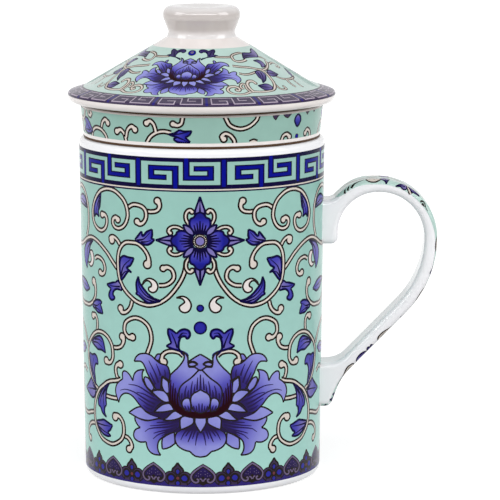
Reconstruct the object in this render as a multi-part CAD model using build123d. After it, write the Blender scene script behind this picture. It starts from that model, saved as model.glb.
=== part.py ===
"""Tall porcelain tea cup with a strap handle, a lift-out strainer basket and a lift-off domed lid.

Millimetres. +Z is up, the origin is the centre of the foot on the table, and the handle points along +X.
"""

import os
from math import cos, pi, sin, tan, radians

from build123d import *

# Cup: a tall cup, slightly wider at the rim than at the foot
CUP_HEIGHT = 105.6
CUP_RIM_RADIUS = 38.1
CUP_FOOT_RADIUS = 36.8
CUP_WALL = 3.5
CUP_FLOOR = 4.0
CUP_FLOOR_ROUND = 8.0
CUP_RIM_ROUND_OUTSIDE = 1.5
CUP_RIM_ROUND_INSIDE = 1.2
FOOT_EDGE_ROUND = 2.0
FOOT_RING_WIDTH = 3.4
FOOT_RECESS_DEPTH = 1.6
FOOT_RECESS_ROUND = 0.7

# Strainer: a collar that stands on the cup's rim and a perforated basket that hangs inside the cup
COLLAR_HEIGHT = 10.0
COLLAR_SETBACK = 1.5
COLLAR_FLARE = 0.9
COLLAR_WALL = 3.0
COLLAR_EDGE_ROUND = 0.9
COLLAR_LEDGE_HEIGHT = 1.0
COLLAR_LEDGE_ROUND = 3.0
BASKET_DEPTH = 61.0
BASKET_WALL = 2.6
BASKET_FLOOR_ROUND = 5.0
BASKET_MOUTH_CLEARANCE = 0.8
BASKET_BASE_CLEARANCE = 3.0
HOLE_DIAMETER = 2.4
HOLE_DRILL_OVERRUN = 4.0
HOLE_ROW_COUNT = 5
HOLE_ROW_PITCH = 5.2
HOLE_COUNT_PER_ROW = 22
FIRST_ROW_ABOVE_FLOOR = 8.0
FLOOR_RING_COUNT = 3
FLOOR_RING_PITCH = 6.6
FIRST_RING_COUNT = 6

# Lid: a cone with a flared brim that clears the collar, a seat ring on the collar's top land, a locating
# ring inside the collar and a flat land for the knob
LID_OVERHANG = 3.9
LID_BRIM_WIDTH = 7.4
LID_BRIM_LIFT = 0.9
LID_BRIM_EDGE = 1.1
LID_BRIM_UNDER_ROUND = 2.0
LID_BRIM_TOP_ROUND = 1.1
LID_BREAK_HEIGHT = 6.4
LID_BREAK_ROUND = 9.0
LID_CROWN_HEIGHT = 20.8
LID_WALL = 3.4
LID_RING_DEPTH = 5.0
LID_RING_WIDTH = 2.8
LID_RING_CLEARANCE = 0.9
LID_RING_FLOOR_CLEARANCE = 0.8
LID_RING_ROUND = 0.9
LID_HOLLOW_ROUND = 3.0
LID_SEAT_ROUND = 0.4

# Knob: a short flared drum with a shallow dish in its top
KNOB_HEIGHT = 9.5
KNOB_RADIUS = 11.9
KNOB_NECK_RADIUS = 10.2
KNOB_BASE_RADIUS = 10.7
KNOB_NECK_HEIGHT = 1.5
KNOB_NECK_ROUND = 2.0
KNOB_RIM_BAND = 1.0
KNOB_SIDE_ROUND = 2.5
KNOB_TOP_ROUND = 2.6
KNOB_DISH_RADIUS = 7.4
KNOB_DISH_DEPTH = 0.8

# Handle: a strap bent to an ear, with a spur down the wall above and a long fan below
HANDLE_REACH = 35.0
HANDLE_WIDTH = 12.0
HANDLE_THICKNESS = 4.0
HANDLE_EDGE_ROUND = 1.75
HANDLE_DROP = 13.2
HANDLE_TOP_FLAT = 2.5
HANDLE_ARCH_FLAT = 0.2
HANDLE_BACK_STRAIGHT = 0.4
HANDLE_BACK_BEND = 33.0
HANDLE_SLANT_ANGLE = 45.8
HANDLE_SHOULDER_DROP = 6.4
HANDLE_SHOULDER_ANGLE = 43.0
HANDLE_SHOULDER_BEND = 13.0
HANDLE_SHOULDER_OFFSET = 2.6
HANDLE_SHOULDER_ROOT = 4.0
SPUR_STRAIGHT = 3.7
SPUR_THICKNESS = 4.4
SPUR_TIP_ROUND = 2.2
FAN_KNEE_OFFSET = 6.5
FAN_KNEE_BEND = 18.0
FAN_DROP = 9.0
FAN_ANGLE = 70.0
FAN_TIP_ROUND = 2.4
FAN_CROTCH_OFFSET = 5.9
FAN_CROTCH_ANGLE = 4.0
FAN_CROTCH_ROUND = 8.0


def cup_wall_radius(height):
    """Outside radius of the cup's straight wall at a height."""
    return CUP_FOOT_RADIUS + (CUP_RIM_RADIUS - CUP_FOOT_RADIUS) * height / CUP_HEIGHT


def turned(corners, rounds):
    """A solid of revolution about Z from the corners of its half section and the rounding of each."""
    outline = FilletPolyline(*corners, radius=rounds, close=True)
    half_section = make_face(outline)
    return revolve(Plane.XZ * half_section, Axis.Z)


def make_cup_body():
    base_top = FOOT_RECESS_DEPTH + CUP_FLOOR
    foot_outside = cup_wall_radius(0)
    foot_inside = foot_outside - FOOT_EDGE_ROUND - FOOT_RING_WIDTH
    inside_top = CUP_RIM_RADIUS - CUP_WALL
    inside_bottom = cup_wall_radius(base_top) - CUP_WALL
    corners = [
        (0, FOOT_RECESS_DEPTH),
        (foot_inside - FOOT_RECESS_DEPTH, FOOT_RECESS_DEPTH),
        (foot_inside, 0),
        (foot_outside, 0),
        (CUP_RIM_RADIUS, CUP_HEIGHT),
        (inside_top, CUP_HEIGHT),
        (inside_bottom, base_top),
        (0, base_top),
    ]
    rounds = [
        0,
        FOOT_RECESS_ROUND,
        FOOT_RECESS_ROUND,
        FOOT_EDGE_ROUND,
        CUP_RIM_ROUND_OUTSIDE,
        CUP_RIM_ROUND_INSIDE,
        CUP_FLOOR_ROUND,
        0,
    ]
    return turned(corners, rounds)


# The collar's underside lies on the flat crown of the cup's rim
SEAT_HEIGHT = CUP_HEIGHT
COLLAR_TOP = SEAT_HEIGHT + COLLAR_HEIGHT
COLLAR_BASE_RADIUS = CUP_RIM_RADIUS - COLLAR_SETBACK
COLLAR_TOP_RADIUS = COLLAR_BASE_RADIUS + COLLAR_FLARE
COLLAR_MOUTH_RADIUS = COLLAR_TOP_RADIUS - COLLAR_WALL
BASKET_TOP_RADIUS = CUP_RIM_RADIUS - CUP_WALL - BASKET_MOUTH_CLEARANCE
BASKET_BOTTOM = SEAT_HEIGHT - BASKET_DEPTH
BASKET_BASE_RADIUS = cup_wall_radius(BASKET_BOTTOM) - CUP_WALL - BASKET_BASE_CLEARANCE


def basket_radius(height):
    """Outside radius of the basket's wall at a height."""
    share = (height - BASKET_BOTTOM) / BASKET_DEPTH
    return BASKET_BASE_RADIUS + (BASKET_TOP_RADIUS - BASKET_BASE_RADIUS) * share


def make_strainer_shell():
    floor_top = BASKET_BOTTOM + BASKET_WALL
    ledge = SEAT_HEIGHT + COLLAR_LEDGE_HEIGHT
    inside_round = BASKET_FLOOR_ROUND - BASKET_WALL
    corners = [
        (0, BASKET_BOTTOM),
        (BASKET_BASE_RADIUS, BASKET_BOTTOM),
        (BASKET_TOP_RADIUS, SEAT_HEIGHT),
        (COLLAR_BASE_RADIUS, SEAT_HEIGHT),
        (COLLAR_TOP_RADIUS, COLLAR_TOP),
        (COLLAR_MOUTH_RADIUS, COLLAR_TOP),
        (COLLAR_MOUTH_RADIUS, COLLAR_TOP - LID_RING_DEPTH - LID_RING_FLOOR_CLEARANCE),
        (basket_radius(ledge) - BASKET_WALL, ledge),
        (basket_radius(floor_top) - BASKET_WALL, floor_top),
        (0, floor_top),
    ]
    rounds = [
        0,
        BASKET_FLOOR_ROUND,
        0,
        COLLAR_EDGE_ROUND / 2,
        COLLAR_EDGE_ROUND,
        COLLAR_EDGE_ROUND,
        COLLAR_EDGE_ROUND,
        COLLAR_LEDGE_ROUND,
        inside_round,
        0,
    ]
    return turned(corners, rounds)


HOLE_DRILL_LENGTH = BASKET_WALL + 2 * HOLE_DRILL_OVERRUN


def make_wall_drills():
    """Rows of radial drills round the lower wall, each row turned half a step from the one below."""
    drill = Cylinder(HOLE_DIAMETER / 2, HOLE_DRILL_LENGTH, rotation=(0, 90, 0))
    drills = []
    for row in range(HOLE_ROW_COUNT):
        height = BASKET_BOTTOM + BASKET_WALL + FIRST_ROW_ABOVE_FLOOR + row * HOLE_ROW_PITCH
        middle_of_wall = basket_radius(height) - BASKET_WALL / 2
        for step in range(HOLE_COUNT_PER_ROW):
            turn = 360 / HOLE_COUNT_PER_ROW * (step + 0.5 * (row % 2))
            drills.append(Rot(0, 0, turn) * Pos(middle_of_wall, 0, height) * drill)
    return drills


def make_floor_drills():
    """A centre hole and rings of holes through the basket's floor."""
    drill = Cylinder(HOLE_DIAMETER / 2, HOLE_DRILL_LENGTH)
    height = BASKET_BOTTOM + BASKET_WALL / 2
    drills = [Pos(0, 0, height) * drill]
    for ring in range(1, FLOOR_RING_COUNT + 1):
        count = FIRST_RING_COUNT * ring
        for step in range(count):
            turn = 2 * pi * step / count
            radius = ring * FLOOR_RING_PITCH
            drills.append(Pos(radius * cos(turn), radius * sin(turn), height) * drill)
    return drills


def make_infuser():
    return make_strainer_shell() - (make_wall_drills() + make_floor_drills())


# The lid's seat ring lies on the collar's top land
LID_SEAT = COLLAR_TOP
CROWN_HEIGHT = LID_SEAT + LID_CROWN_HEIGHT
LID_BRIM_RADIUS = COLLAR_TOP_RADIUS + LID_OVERHANG
LID_BREAK_RADIUS = LID_BRIM_RADIUS - LID_BRIM_WIDTH


def make_lid_cover():
    ring_outside = COLLAR_MOUTH_RADIUS - LID_RING_CLEARANCE
    ring_inside = ring_outside - LID_RING_WIDTH
    ring_bottom = LID_SEAT - LID_RING_DEPTH
    seat_outside = COLLAR_TOP_RADIUS - COLLAR_EDGE_ROUND
    brim_under = LID_SEAT + LID_BRIM_LIFT
    break_height = LID_SEAT + LID_BREAK_HEIGHT
    slope = (CROWN_HEIGHT - break_height) / (LID_BREAK_RADIUS - KNOB_BASE_RADIUS)
    wall_drop = LID_WALL * (1 + slope**2) ** 0.5
    ceiling = CROWN_HEIGHT - LID_WALL
    ceiling_radius = KNOB_BASE_RADIUS - (wall_drop - LID_WALL) / slope
    hollow_height = break_height - wall_drop + (LID_BREAK_RADIUS - ring_inside) * slope
    corners = [
        (0, ceiling),
        (ceiling_radius, ceiling),
        (ring_inside, hollow_height),
        (ring_inside, ring_bottom),
        (ring_outside, ring_bottom),
        (ring_outside, LID_SEAT),
        (seat_outside, LID_SEAT),
        (seat_outside, brim_under),
        (LID_BRIM_RADIUS, brim_under),
        (LID_BRIM_RADIUS, brim_under + LID_BRIM_UNDER_ROUND + LID_BRIM_EDGE),
        (LID_BREAK_RADIUS, break_height),
        (KNOB_BASE_RADIUS, CROWN_HEIGHT),
        (0, CROWN_HEIGHT),
    ]
    rounds = [
        0,
        LID_HOLLOW_ROUND,
        LID_HOLLOW_ROUND,
        LID_RING_ROUND,
        LID_RING_ROUND,
        0,
        0,
        LID_SEAT_ROUND,
        LID_BRIM_UNDER_ROUND,
        LID_BRIM_TOP_ROUND,
        LID_BREAK_ROUND,
        0,
        0,
    ]
    return turned(corners, rounds)


def make_lid_knob():
    """The knob stands on the lid's crown, flush with the end of the cone."""
    top = CROWN_HEIGHT + KNOB_HEIGHT
    corners = [
        (0, CROWN_HEIGHT),
        (KNOB_BASE_RADIUS, CROWN_HEIGHT),
        (KNOB_NECK_RADIUS, CROWN_HEIGHT + KNOB_NECK_HEIGHT),
        (KNOB_RADIUS, top - KNOB_TOP_ROUND - KNOB_RIM_BAND),
        (KNOB_RADIUS, top),
        (0, top),
    ]
    drum = turned(corners, [0, 0, KNOB_NECK_ROUND, KNOB_SIDE_ROUND, KNOB_TOP_ROUND, 0])
    ball_radius = (KNOB_DISH_RADIUS**2 + KNOB_DISH_DEPTH**2) / (2 * KNOB_DISH_DEPTH)
    return drum - Pos(0, 0, top - KNOB_DISH_DEPTH + ball_radius) * Sphere(ball_radius)


# The strap is drawn on past the cup's wall to a line inside the cup, and the wall trims it
HANDLE_CORE = CUP_FOOT_RADIUS / 2


def handle_outline():
    """Side view of the strap, from the line inside the cup."""
    outer_x = CUP_RIM_RADIUS + HANDLE_REACH
    inner_x = outer_x - HANDLE_THICKNESS
    outer_top = CUP_HEIGHT - HANDLE_DROP
    inner_top = outer_top - HANDLE_THICKNESS
    slant = tan(radians(HANDLE_SLANT_ANGLE))
    steep = tan(radians(FAN_ANGLE))
    crotch_rise = tan(radians(FAN_CROTCH_ANGLE))

    # The arch's bends fill the span from the shoulder, and from the spur, to the back
    shoulder_height = outer_top - HANDLE_SHOULDER_DROP
    wall_x = cup_wall_radius(shoulder_height)
    root_x = wall_x + HANDLE_SHOULDER_OFFSET
    shoulder_x = root_x + HANDLE_SHOULDER_DROP / tan(radians(HANDLE_SHOULDER_ANGLE))
    shoulder_reach = HANDLE_SHOULDER_BEND * tan(radians(HANDLE_SHOULDER_ANGLE / 2))
    top_bend = outer_x - shoulder_x - shoulder_reach - HANDLE_TOP_FLAT
    inner_bend = top_bend - HANDLE_THICKNESS
    spur_x = wall_x + SPUR_THICKNESS
    spur_bend = inner_x - spur_x - inner_bend - HANDLE_ARCH_FLAT
    spur_bottom = inner_top - spur_bend - SPUR_STRAIGHT

    # The back turns from upright to the slant in one large bend
    bend_reach = HANDLE_BACK_BEND * tan(radians((90 - HANDLE_SLANT_ANGLE) / 2))
    slant_start = outer_top - top_bend - HANDLE_BACK_STRAIGHT - bend_reach
    slant_gap = HANDLE_THICKNESS / cos(radians(HANDLE_SLANT_ANGLE))
    inner_slant_start = slant_start + slant_gap - HANDLE_THICKNESS * slant

    # Outside, the slant steepens at a knee; inside, it flattens into the crotch
    knee_x = CUP_FOOT_RADIUS + FAN_KNEE_OFFSET
    knee_height = slant_start - slant * (outer_x - knee_x)
    tip_x = knee_x - FAN_DROP / steep
    fan_bottom = knee_height - FAN_DROP
    crotch_x = CUP_FOOT_RADIUS + FAN_CROTCH_OFFSET
    crotch_height = inner_slant_start - slant * (inner_x - crotch_x)

    corners = [
        (HANDLE_CORE, shoulder_height),
        (root_x, shoulder_height),
        (shoulder_x, outer_top),
        (outer_x, outer_top),
        (outer_x, slant_start),
        (knee_x, knee_height),
        (tip_x, fan_bottom),
        (HANDLE_CORE, fan_bottom),
        (HANDLE_CORE, crotch_height - crotch_rise * (crotch_x - HANDLE_CORE)),
        (crotch_x, crotch_height),
        (inner_x, inner_slant_start),
        (inner_x, inner_top),
        (spur_x, inner_top),
        (spur_x, spur_bottom),
        (HANDLE_CORE, spur_bottom),
    ]
    rounds = [
        0,
        HANDLE_SHOULDER_ROOT,
        HANDLE_SHOULDER_BEND,
        top_bend,
        HANDLE_BACK_BEND,
        FAN_KNEE_BEND,
        FAN_TIP_ROUND,
        0,
        0,
        FAN_CROTCH_ROUND,
        HANDLE_BACK_BEND - HANDLE_THICKNESS,
        inner_bend,
        spur_bend,
        SPUR_TIP_ROUND,
        0,
    ]
    return FilletPolyline(*corners, radius=rounds, close=True)


def make_handle():
    side = Plane.XZ * make_face(handle_outline())
    strap = extrude(side, HANDLE_WIDTH / 2, both=True)
    # The long edges on both side faces are rounded, but not the short ones on the line inside the cup
    sides = strap.faces().filter_by(Axis.Y)
    rims = [edge for edge in sides.edges() if edge.center().X > HANDLE_CORE + HANDLE_EDGE_ROUND]
    strap = fillet(rims, HANDLE_EDGE_ROUND)
    wall = Pos(0, 0, CUP_HEIGHT / 2) * Cone(CUP_FOOT_RADIUS, CUP_RIM_RADIUS, CUP_HEIGHT)
    return strap - wall


def export(node, shape):
    export_step(shape, f"parts/{node}.step")


os.makedirs("parts", exist_ok=True)
export("cup_body", make_cup_body())
export("handle", make_handle())
export("infuser", make_infuser())
export("lid_cover", make_lid_cover())
export("lid_knob", make_lid_knob())
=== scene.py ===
from itertools import accumulate
from math import atan, ceil, cos, hypot, pi, radians, sin, tan

import bpy
import numpy as np
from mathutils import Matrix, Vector
from mathutils.geometry import delaunay_2d_cdt


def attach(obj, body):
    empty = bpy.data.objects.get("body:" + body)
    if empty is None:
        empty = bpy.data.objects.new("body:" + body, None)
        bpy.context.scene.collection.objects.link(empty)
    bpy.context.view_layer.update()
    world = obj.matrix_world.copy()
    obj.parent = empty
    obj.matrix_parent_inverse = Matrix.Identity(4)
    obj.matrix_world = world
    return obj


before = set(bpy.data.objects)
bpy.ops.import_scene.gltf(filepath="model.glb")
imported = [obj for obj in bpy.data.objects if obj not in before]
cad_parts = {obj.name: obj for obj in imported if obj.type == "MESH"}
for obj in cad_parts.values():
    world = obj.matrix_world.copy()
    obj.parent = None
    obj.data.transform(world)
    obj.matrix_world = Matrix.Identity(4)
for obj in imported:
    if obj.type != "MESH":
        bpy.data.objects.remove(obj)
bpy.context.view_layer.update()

# Metres in a millimetre
MM = 0.001

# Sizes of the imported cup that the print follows, in millimetres
CUP_FOOT_RADIUS = 36.8
CUP_RIM_RADIUS = 38.1
CUP_HEIGHT = 105.6
COLLAR_BASE_RADIUS = 36.6
COLLAR_FLARE = 0.9
COLLAR_HEIGHT = 10.0
COLLAR_FOOT_ROUND = 0.45
LID_SEAT_RADIUS = 36.6
KNOB_TOP = 145.9

# The lid's top as radius and height: the knob's root, the hollow bend and the edge of the brim
LID_CROWN = (10.7, 136.4)
LID_BREAK = (34.0, 122.0)
LID_EDGE = (41.4, 119.6)
LID_BREAK_ROUND = 9.0
LID_EDGE_ROUND = 1.1

# The handle's outside from its upper root to its foot, the radius of each bend, and its cross section
HANDLE_LINE = [
    (40.46, 86.0), (47.32, 92.4), (73.1, 92.4), (73.1, 60.44), (43.3, 29.8), (40.02, 20.8), (37.2, 20.8),
]
HANDLE_BENDS = [13.0, 18.16, 33.0, 18.0, 2.4]
HANDLE_HALF_FLAT = 4.25
HANDLE_EDGE_ROUND = 1.75

# The print lies this far above the white body, and its drawing is unrolled at these radii
FILM = 0.05
WALL_RADIUS = 37.3
COLLAR_RADIUS = 37.0
LID_BAND_RADIUS = 38.7

# How much the wall and the collar widen for each millimetre of height
WALL_LEAN = (CUP_RIM_RADIUS - CUP_FOOT_RADIUS) / CUP_HEIGHT
COLLAR_LEAN = COLLAR_FLARE / COLLAR_HEIGHT

# Longest step along a drawn line, sharpest turn in one step and size of the net under the drawing
STEP = 1.2
TURN = 0.16
NET = 1.6

# Every other row of the net is moved on by this share of a column
NET_SHIFT = 0.3

# Step along a curve before it is thinned, step round a dot and the fewest corners of a dot
FINE_STEP = 0.25
DOT_STEP = 0.35
DOT_CORNERS = 10

# A length that counts as none, and how near corners are joined when a drawing is cut
TINY = 1e-6
WELD = 1e-4

# Shade of what is drawn without a fade
MIDDLE_SHADE = 0.5

# Weight of the lines, as half widths
VINE = 0.29
VINE_EDGE = 0.58
CONTOUR = 0.3
VEIN = 0.23
DULL_CONTOUR = CONTOUR * 0.9
PETAL_CONTOUR = CONTOUR * 0.85
PETAL_VEIN = VEIN * 1.1
SHADE_VEIN = VEIN * 1.2
STROKE = VEIN * 1.5

# A vein starts at this share of its width and loses this share of it on its way
VEIN_START = 1.35
VEIN_LOSS = 0.95

# A stem swells over this length before a ball, to this share of the ball
SWELL = 3.4
SWELL_SHARE = 0.85

# A rim has this share of its depth at a tip, and gains its depth in this many depths
RIM_TIP = 0.1
RIM_RUN = 2.5


# Lines

def apart(a, b):
    return hypot(b[0] - a[0], b[1] - a[1])


def reaches(line):
    """How far along a polyline each of its points lies."""
    return list(accumulate((apart(a, b) for a, b in zip(line, line[1:])), initial=0))


def beside(line, place):
    """The points before and after a place on a polyline, or its own end where it has none."""
    return line[max(place - 1, 0)], line[min(place + 1, len(line) - 1)]


def smooth(points):
    """A close polyline on a smooth curve through the points."""
    gaps = [max(apart(a, b), TINY) for a, b in zip(points, points[1:])]
    slopes = []
    for place in range(len(points)):
        low = max(place - 1, 0)
        high = min(place + 1, len(points) - 1)
        span = sum(gaps[low:high])
        run = points[high][0] - points[low][0]
        rise = points[high][1] - points[low][1]
        slopes.append((run / span, rise / span))
    line = [points[0]]
    for place, gap in enumerate(gaps):
        start = points[place]
        end = points[place + 1]
        steps = max(2, ceil(gap / FINE_STEP))
        for step in range(1, steps + 1):
            t = step / steps
            a = 2 * t**3 - 3 * t**2 + 1
            b = (t**3 - 2 * t**2 + t) * gap
            c = 3 * t**2 - 2 * t**3
            d = (t**3 - t**2) * gap
            x = a * start[0] + b * slopes[place][0] + c * end[0] + d * slopes[place + 1][0]
            y = a * start[1] + b * slopes[place][1] + c * end[1] + d * slopes[place + 1][1]
            line.append((x, y))
    return thinned(line)


def thinned(line):
    """Leaves out the points of a polyline that a straight step can bridge."""
    kept = [line[0]]
    heading = None
    for here, after in zip(line[1:], line[2:]):
        going = Vector((after[0] - here[0], after[1] - here[1]))
        if heading is None:
            heading = Vector((here[0] - kept[-1][0], here[1] - kept[-1][1]))
        if going.length < TINY or heading.length < TINY:
            continue
        if apart(kept[-1], here) > STEP or abs(heading.angle_signed(going)) > TURN:
            kept.append(here)
            heading = going
    kept.append(line[-1])
    return kept


def runs_of(points):
    """The smooth runs of a closed outline, from tip to tip. A point with a third number is a tip."""
    tips = [place for place, point in enumerate(points) if len(point) == 3] or [0]
    flat = [(point[0], point[1]) for point in points]
    runs = []
    for tip, following in zip(tips, tips[1:] + [tips[0] + len(flat)]):
        stretch = [flat[place % len(flat)] for place in range(tip, following + 1)]
        runs.append(smooth(stretch))
    return runs


def divided(corners):
    """A closed outline of straight sides, divided into short steps."""
    line = []
    for start, end in zip(corners, corners[1:] + corners[:1]):
        steps = ceil(apart(start, end) / STEP)
        for step in range(steps):
            t = step / steps
            line.append((start[0] + (end[0] - start[0]) * t, start[1] + (end[1] - start[1]) * t))
    return line


def box(low, high):
    """The corners of an upright rectangle."""
    return [low, (high[0], low[1]), high, (low[0], high[1])]


def circle(centre, radius):
    count = max(DOT_CORNERS, ceil(2 * pi * radius / DOT_STEP))
    turns = [2 * pi * step / count for step in range(count)]
    return [(centre[0] + radius * cos(turn), centre[1] + radius * sin(turn)) for turn in turns]


def spin(point, angle):
    """A point turned about the origin."""
    x = point[0] * cos(angle) - point[1] * sin(angle)
    y = point[0] * sin(angle) + point[1] * cos(angle)
    return x, y


# Moves of a drawing, and its shades

def in_place(point):
    return point[0], point[1]


def turned_over(point):
    return point[0], -point[1]


def shifted(distance):
    """Moves a drawing to the right."""
    def move(point):
        return point[0] + distance, point[1]
    return move


def even(shade):
    """A fade that has one shade all over."""
    return (0, 0), (0, 1), shade, shade


def shade_at(fade, point):
    """A fade runs from a base point to a tip point, and from one shade to another."""
    if fade is None:
        return MIDDLE_SHADE
    base, tip, low, high = fade
    run = tip[0] - base[0]
    rise = tip[1] - base[1]
    share = ((point[0] - base[0]) * run + (point[1] - base[1]) * rise) / (run**2 + rise**2)
    return low + (high - low) * min(max(share, 0), 1)


# A flat drawing

class Sheet:
    """A flat drawing in millimetres. Each shape lies over those before it, and the first is the ground."""

    def __init__(self, ground_ink, ground, fade=None):
        self.shapes = [(ground_ink, ground, fade)]
        self.move = in_place
        self.weight = 1.0

    def moved(self, points):
        return [self.move(point) + tuple(point[2:]) for point in points]

    def moved_fade(self, fade):
        if fade is None:
            return None
        base, tip, low, high = fade
        return self.move(base), self.move(tip), low, high

    def ribbon(self, ink, line, halves, fade=None):
        """A band along a polyline, with a half width for each of its points."""
        left = []
        right = []
        for place, point in enumerate(line):
            before, after = beside(line, place)
            run = after[0] - before[0]
            rise = after[1] - before[1]
            length = max(hypot(run, rise), TINY)
            across = -rise / length * halves[place]
            along = run / length * halves[place]
            left.append((point[0] + across, point[1] + along))
            right.append((point[0] - across, point[1] - along))
        self.shapes.append((ink, left + right[::-1], fade))

    def fill(self, ink, points, fade=None):
        outline = []
        for run in runs_of(self.moved(points)):
            outline += run[:-1]
        self.shapes.append((ink, outline, self.moved_fade(fade)))

    def petal(self, ink, points, fade=None, contour=CONTOUR, rims=(), contour_ink="line"):
        """A filled shape with a dark contour, but none along the middle line, where its mirror image joins.
        Rims are bands inside the contour: how deep each lies and its shade."""
        self.fill(ink, points, fade)
        runs = runs_of(self.moved(points))
        for depth, shade in rims:
            self.rim(ink, runs, depth * self.weight, shade)
        for run in runs:
            if max(abs(x) for x, y in run) > contour:
                self.ribbon(contour_ink, run, [contour * self.weight] * len(run))

    def rim(self, ink, runs, depth, shade):
        """Bands along the inside of a closed outline, which run out towards its tips."""
        outline = [point for run in runs for point in run[:-1]]
        area = sum(a[0] * b[1] - b[0] * a[1] for a, b in zip(outline, outline[1:] + outline[:1]))
        inward = 1 if area > 0 else -1
        for run in runs:
            reach = reaches(run)
            band = []
            halves = []
            for place, point in enumerate(run):
                before, after = beside(run, place)
                length = max(apart(before, after), TINY)
                near_tip = min(reach[place], reach[-1] - reach[place])
                half = depth / 2 * min(1, RIM_TIP + near_tip / (RIM_RUN * depth))
                shift = half * inward / length
                x = point[0] - (after[1] - before[1]) * shift
                y = point[1] + (after[0] - before[0]) * shift
                band.append((x, y))
                halves.append(half)
            self.ribbon(ink, band, halves, even(shade))

    def line(self, ink, points, half=VEIN):
        run = smooth(self.moved(points))
        self.ribbon(ink, run, [half * self.weight] * len(run))

    def vein(self, points, half=VEIN, ink="line"):
        """A line that starts at full width and thins out."""
        run = smooth(self.moved(points))
        last = len(run) - 1
        halves = [half * self.weight * (VEIN_START - VEIN_LOSS * place / last) for place in range(last + 1)]
        self.ribbon(ink, run, halves)

    def dot(self, ink, centre, radius, fade=None):
        self.shapes.append((ink, circle(self.move(centre), radius * self.weight), self.moved_fade(fade)))

    def plate(self, ink, corners, fade=None):
        """A shape of straight sides."""
        self.shapes.append((ink, divided(self.moved(corners)), self.moved_fade(fade)))

    def bar(self, ink, low, high, fade=None):
        """A rectangle between two corners."""
        self.plate(ink, box(low, high), fade)

    def vine(self, points, start_ball=0, end_ball=0, half=VINE, edge=VINE_EDGE, edge_ink="line"):
        """A pale stem with dark edges that swells to a ball at its ends."""
        run = smooth(self.moved(points))
        reach = reaches(run)
        swell = SWELL * self.weight
        halves = []
        for gone in reach:
            width = half
            near_start = max(0, 1 - gone / swell)
            near_end = max(0, 1 - (reach[-1] - gone) / swell)
            width += max(0, SWELL_SHARE * start_ball - half) * near_start**2
            width += max(0, SWELL_SHARE * end_ball - half) * near_end**2
            halves.append(width * self.weight)
        for ink, more in ((edge_ink, edge * self.weight), ("cream", 0)):
            self.ribbon(ink, run, [width + more for width in halves])
            for ball, end in ((start_ball, run[0]), (end_ball, run[-1])):
                if ball:
                    self.shapes.append((ink, circle(end, ball * self.weight + more), None))


def inside(outline, spots):
    """Which spots lie inside a closed outline, which may run over itself."""
    x = spots[:, 0]
    y = spots[:, 1]
    windings = np.zeros(len(spots), int)
    for (x_a, y_a), (x_b, y_b) in zip(outline, outline[1:] + outline[:1]):
        side = (x_b - x_a) * (y - y_a) - (x - x_a) * (y_b - y_a)
        windings += (y >= y_a) & (y < y_b) & (side > 0)
        windings -= (y >= y_b) & (y < y_a) & (side < 0)
    return windings != 0


def cut(sheet, net):
    """Cuts a drawing into triangles, each in the ink of the topmost shape over it. Drops bare ones."""
    corners = []
    edges = []
    for ink, outline, fade in sheet.shapes:
        first = len(corners)
        last = first + len(outline) - 1
        edges += [(place, place + 1) for place in range(first, last)] + [(last, first)]
        corners += outline
    corners += net
    spread = delaunay_2d_cdt([Vector(corner) for corner in corners], edges, [], 0, WELD, False)
    flat = [(point.x, point.y) for point in spread[0]]
    triangles = spread[2]
    middles = np.array(flat)[np.array(triangles)].mean(axis=1)
    topmost = np.full(len(triangles), -1)
    for number, (ink, outline, fade) in enumerate(sheet.shapes):
        low = np.min(outline, axis=0)
        high = np.max(outline, axis=0)
        near = np.nonzero(((middles >= low) & (middles <= high)).all(axis=1))[0]
        if number:
            near = near[topmost[near] >= 0]
        topmost[near[inside(outline, middles[near])]] = number
    pieces = {}
    for triangle, number in zip(triangles, topmost):
        if number < 0 or sheet.shapes[number][0] == "bare":
            continue
        ink, outline, fade = sheet.shapes[number]
        shades = [shade_at(fade, flat[corner]) for corner in triangle]
        pieces.setdefault(ink, []).append((triangle, shades))
    return flat, pieces


def net_over(low, high):
    """Points of a net inside a rectangle."""
    columns = ceil((high[0] - low[0]) / NET)
    rows = ceil((high[1] - low[1]) / NET)
    points = []
    for column in range(1, columns):
        for row in range(1, rows):
            x = low[0] + (high[0] - low[0]) * (column + NET_SHIFT * (row % 2)) / columns
            y = low[1] + (high[1] - low[1]) * row / rows
            points.append((x, y))
    return points


def net_round(inner, outer):
    """Points of a net inside a quarter of a ring."""
    rings = ceil((outer - inner) / NET)
    points = []
    for ring in range(1, rings):
        radius = inner + (outer - inner) * ring / rings
        count = ceil(radius * pi / 2 / NET)
        for step in range(1, count):
            turn = pi / 2 * step / count
            points.append((radius * sin(turn), -radius * cos(turn)))
    return points


# The scroll's motifs on the cup, right of the panel's middle line

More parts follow.
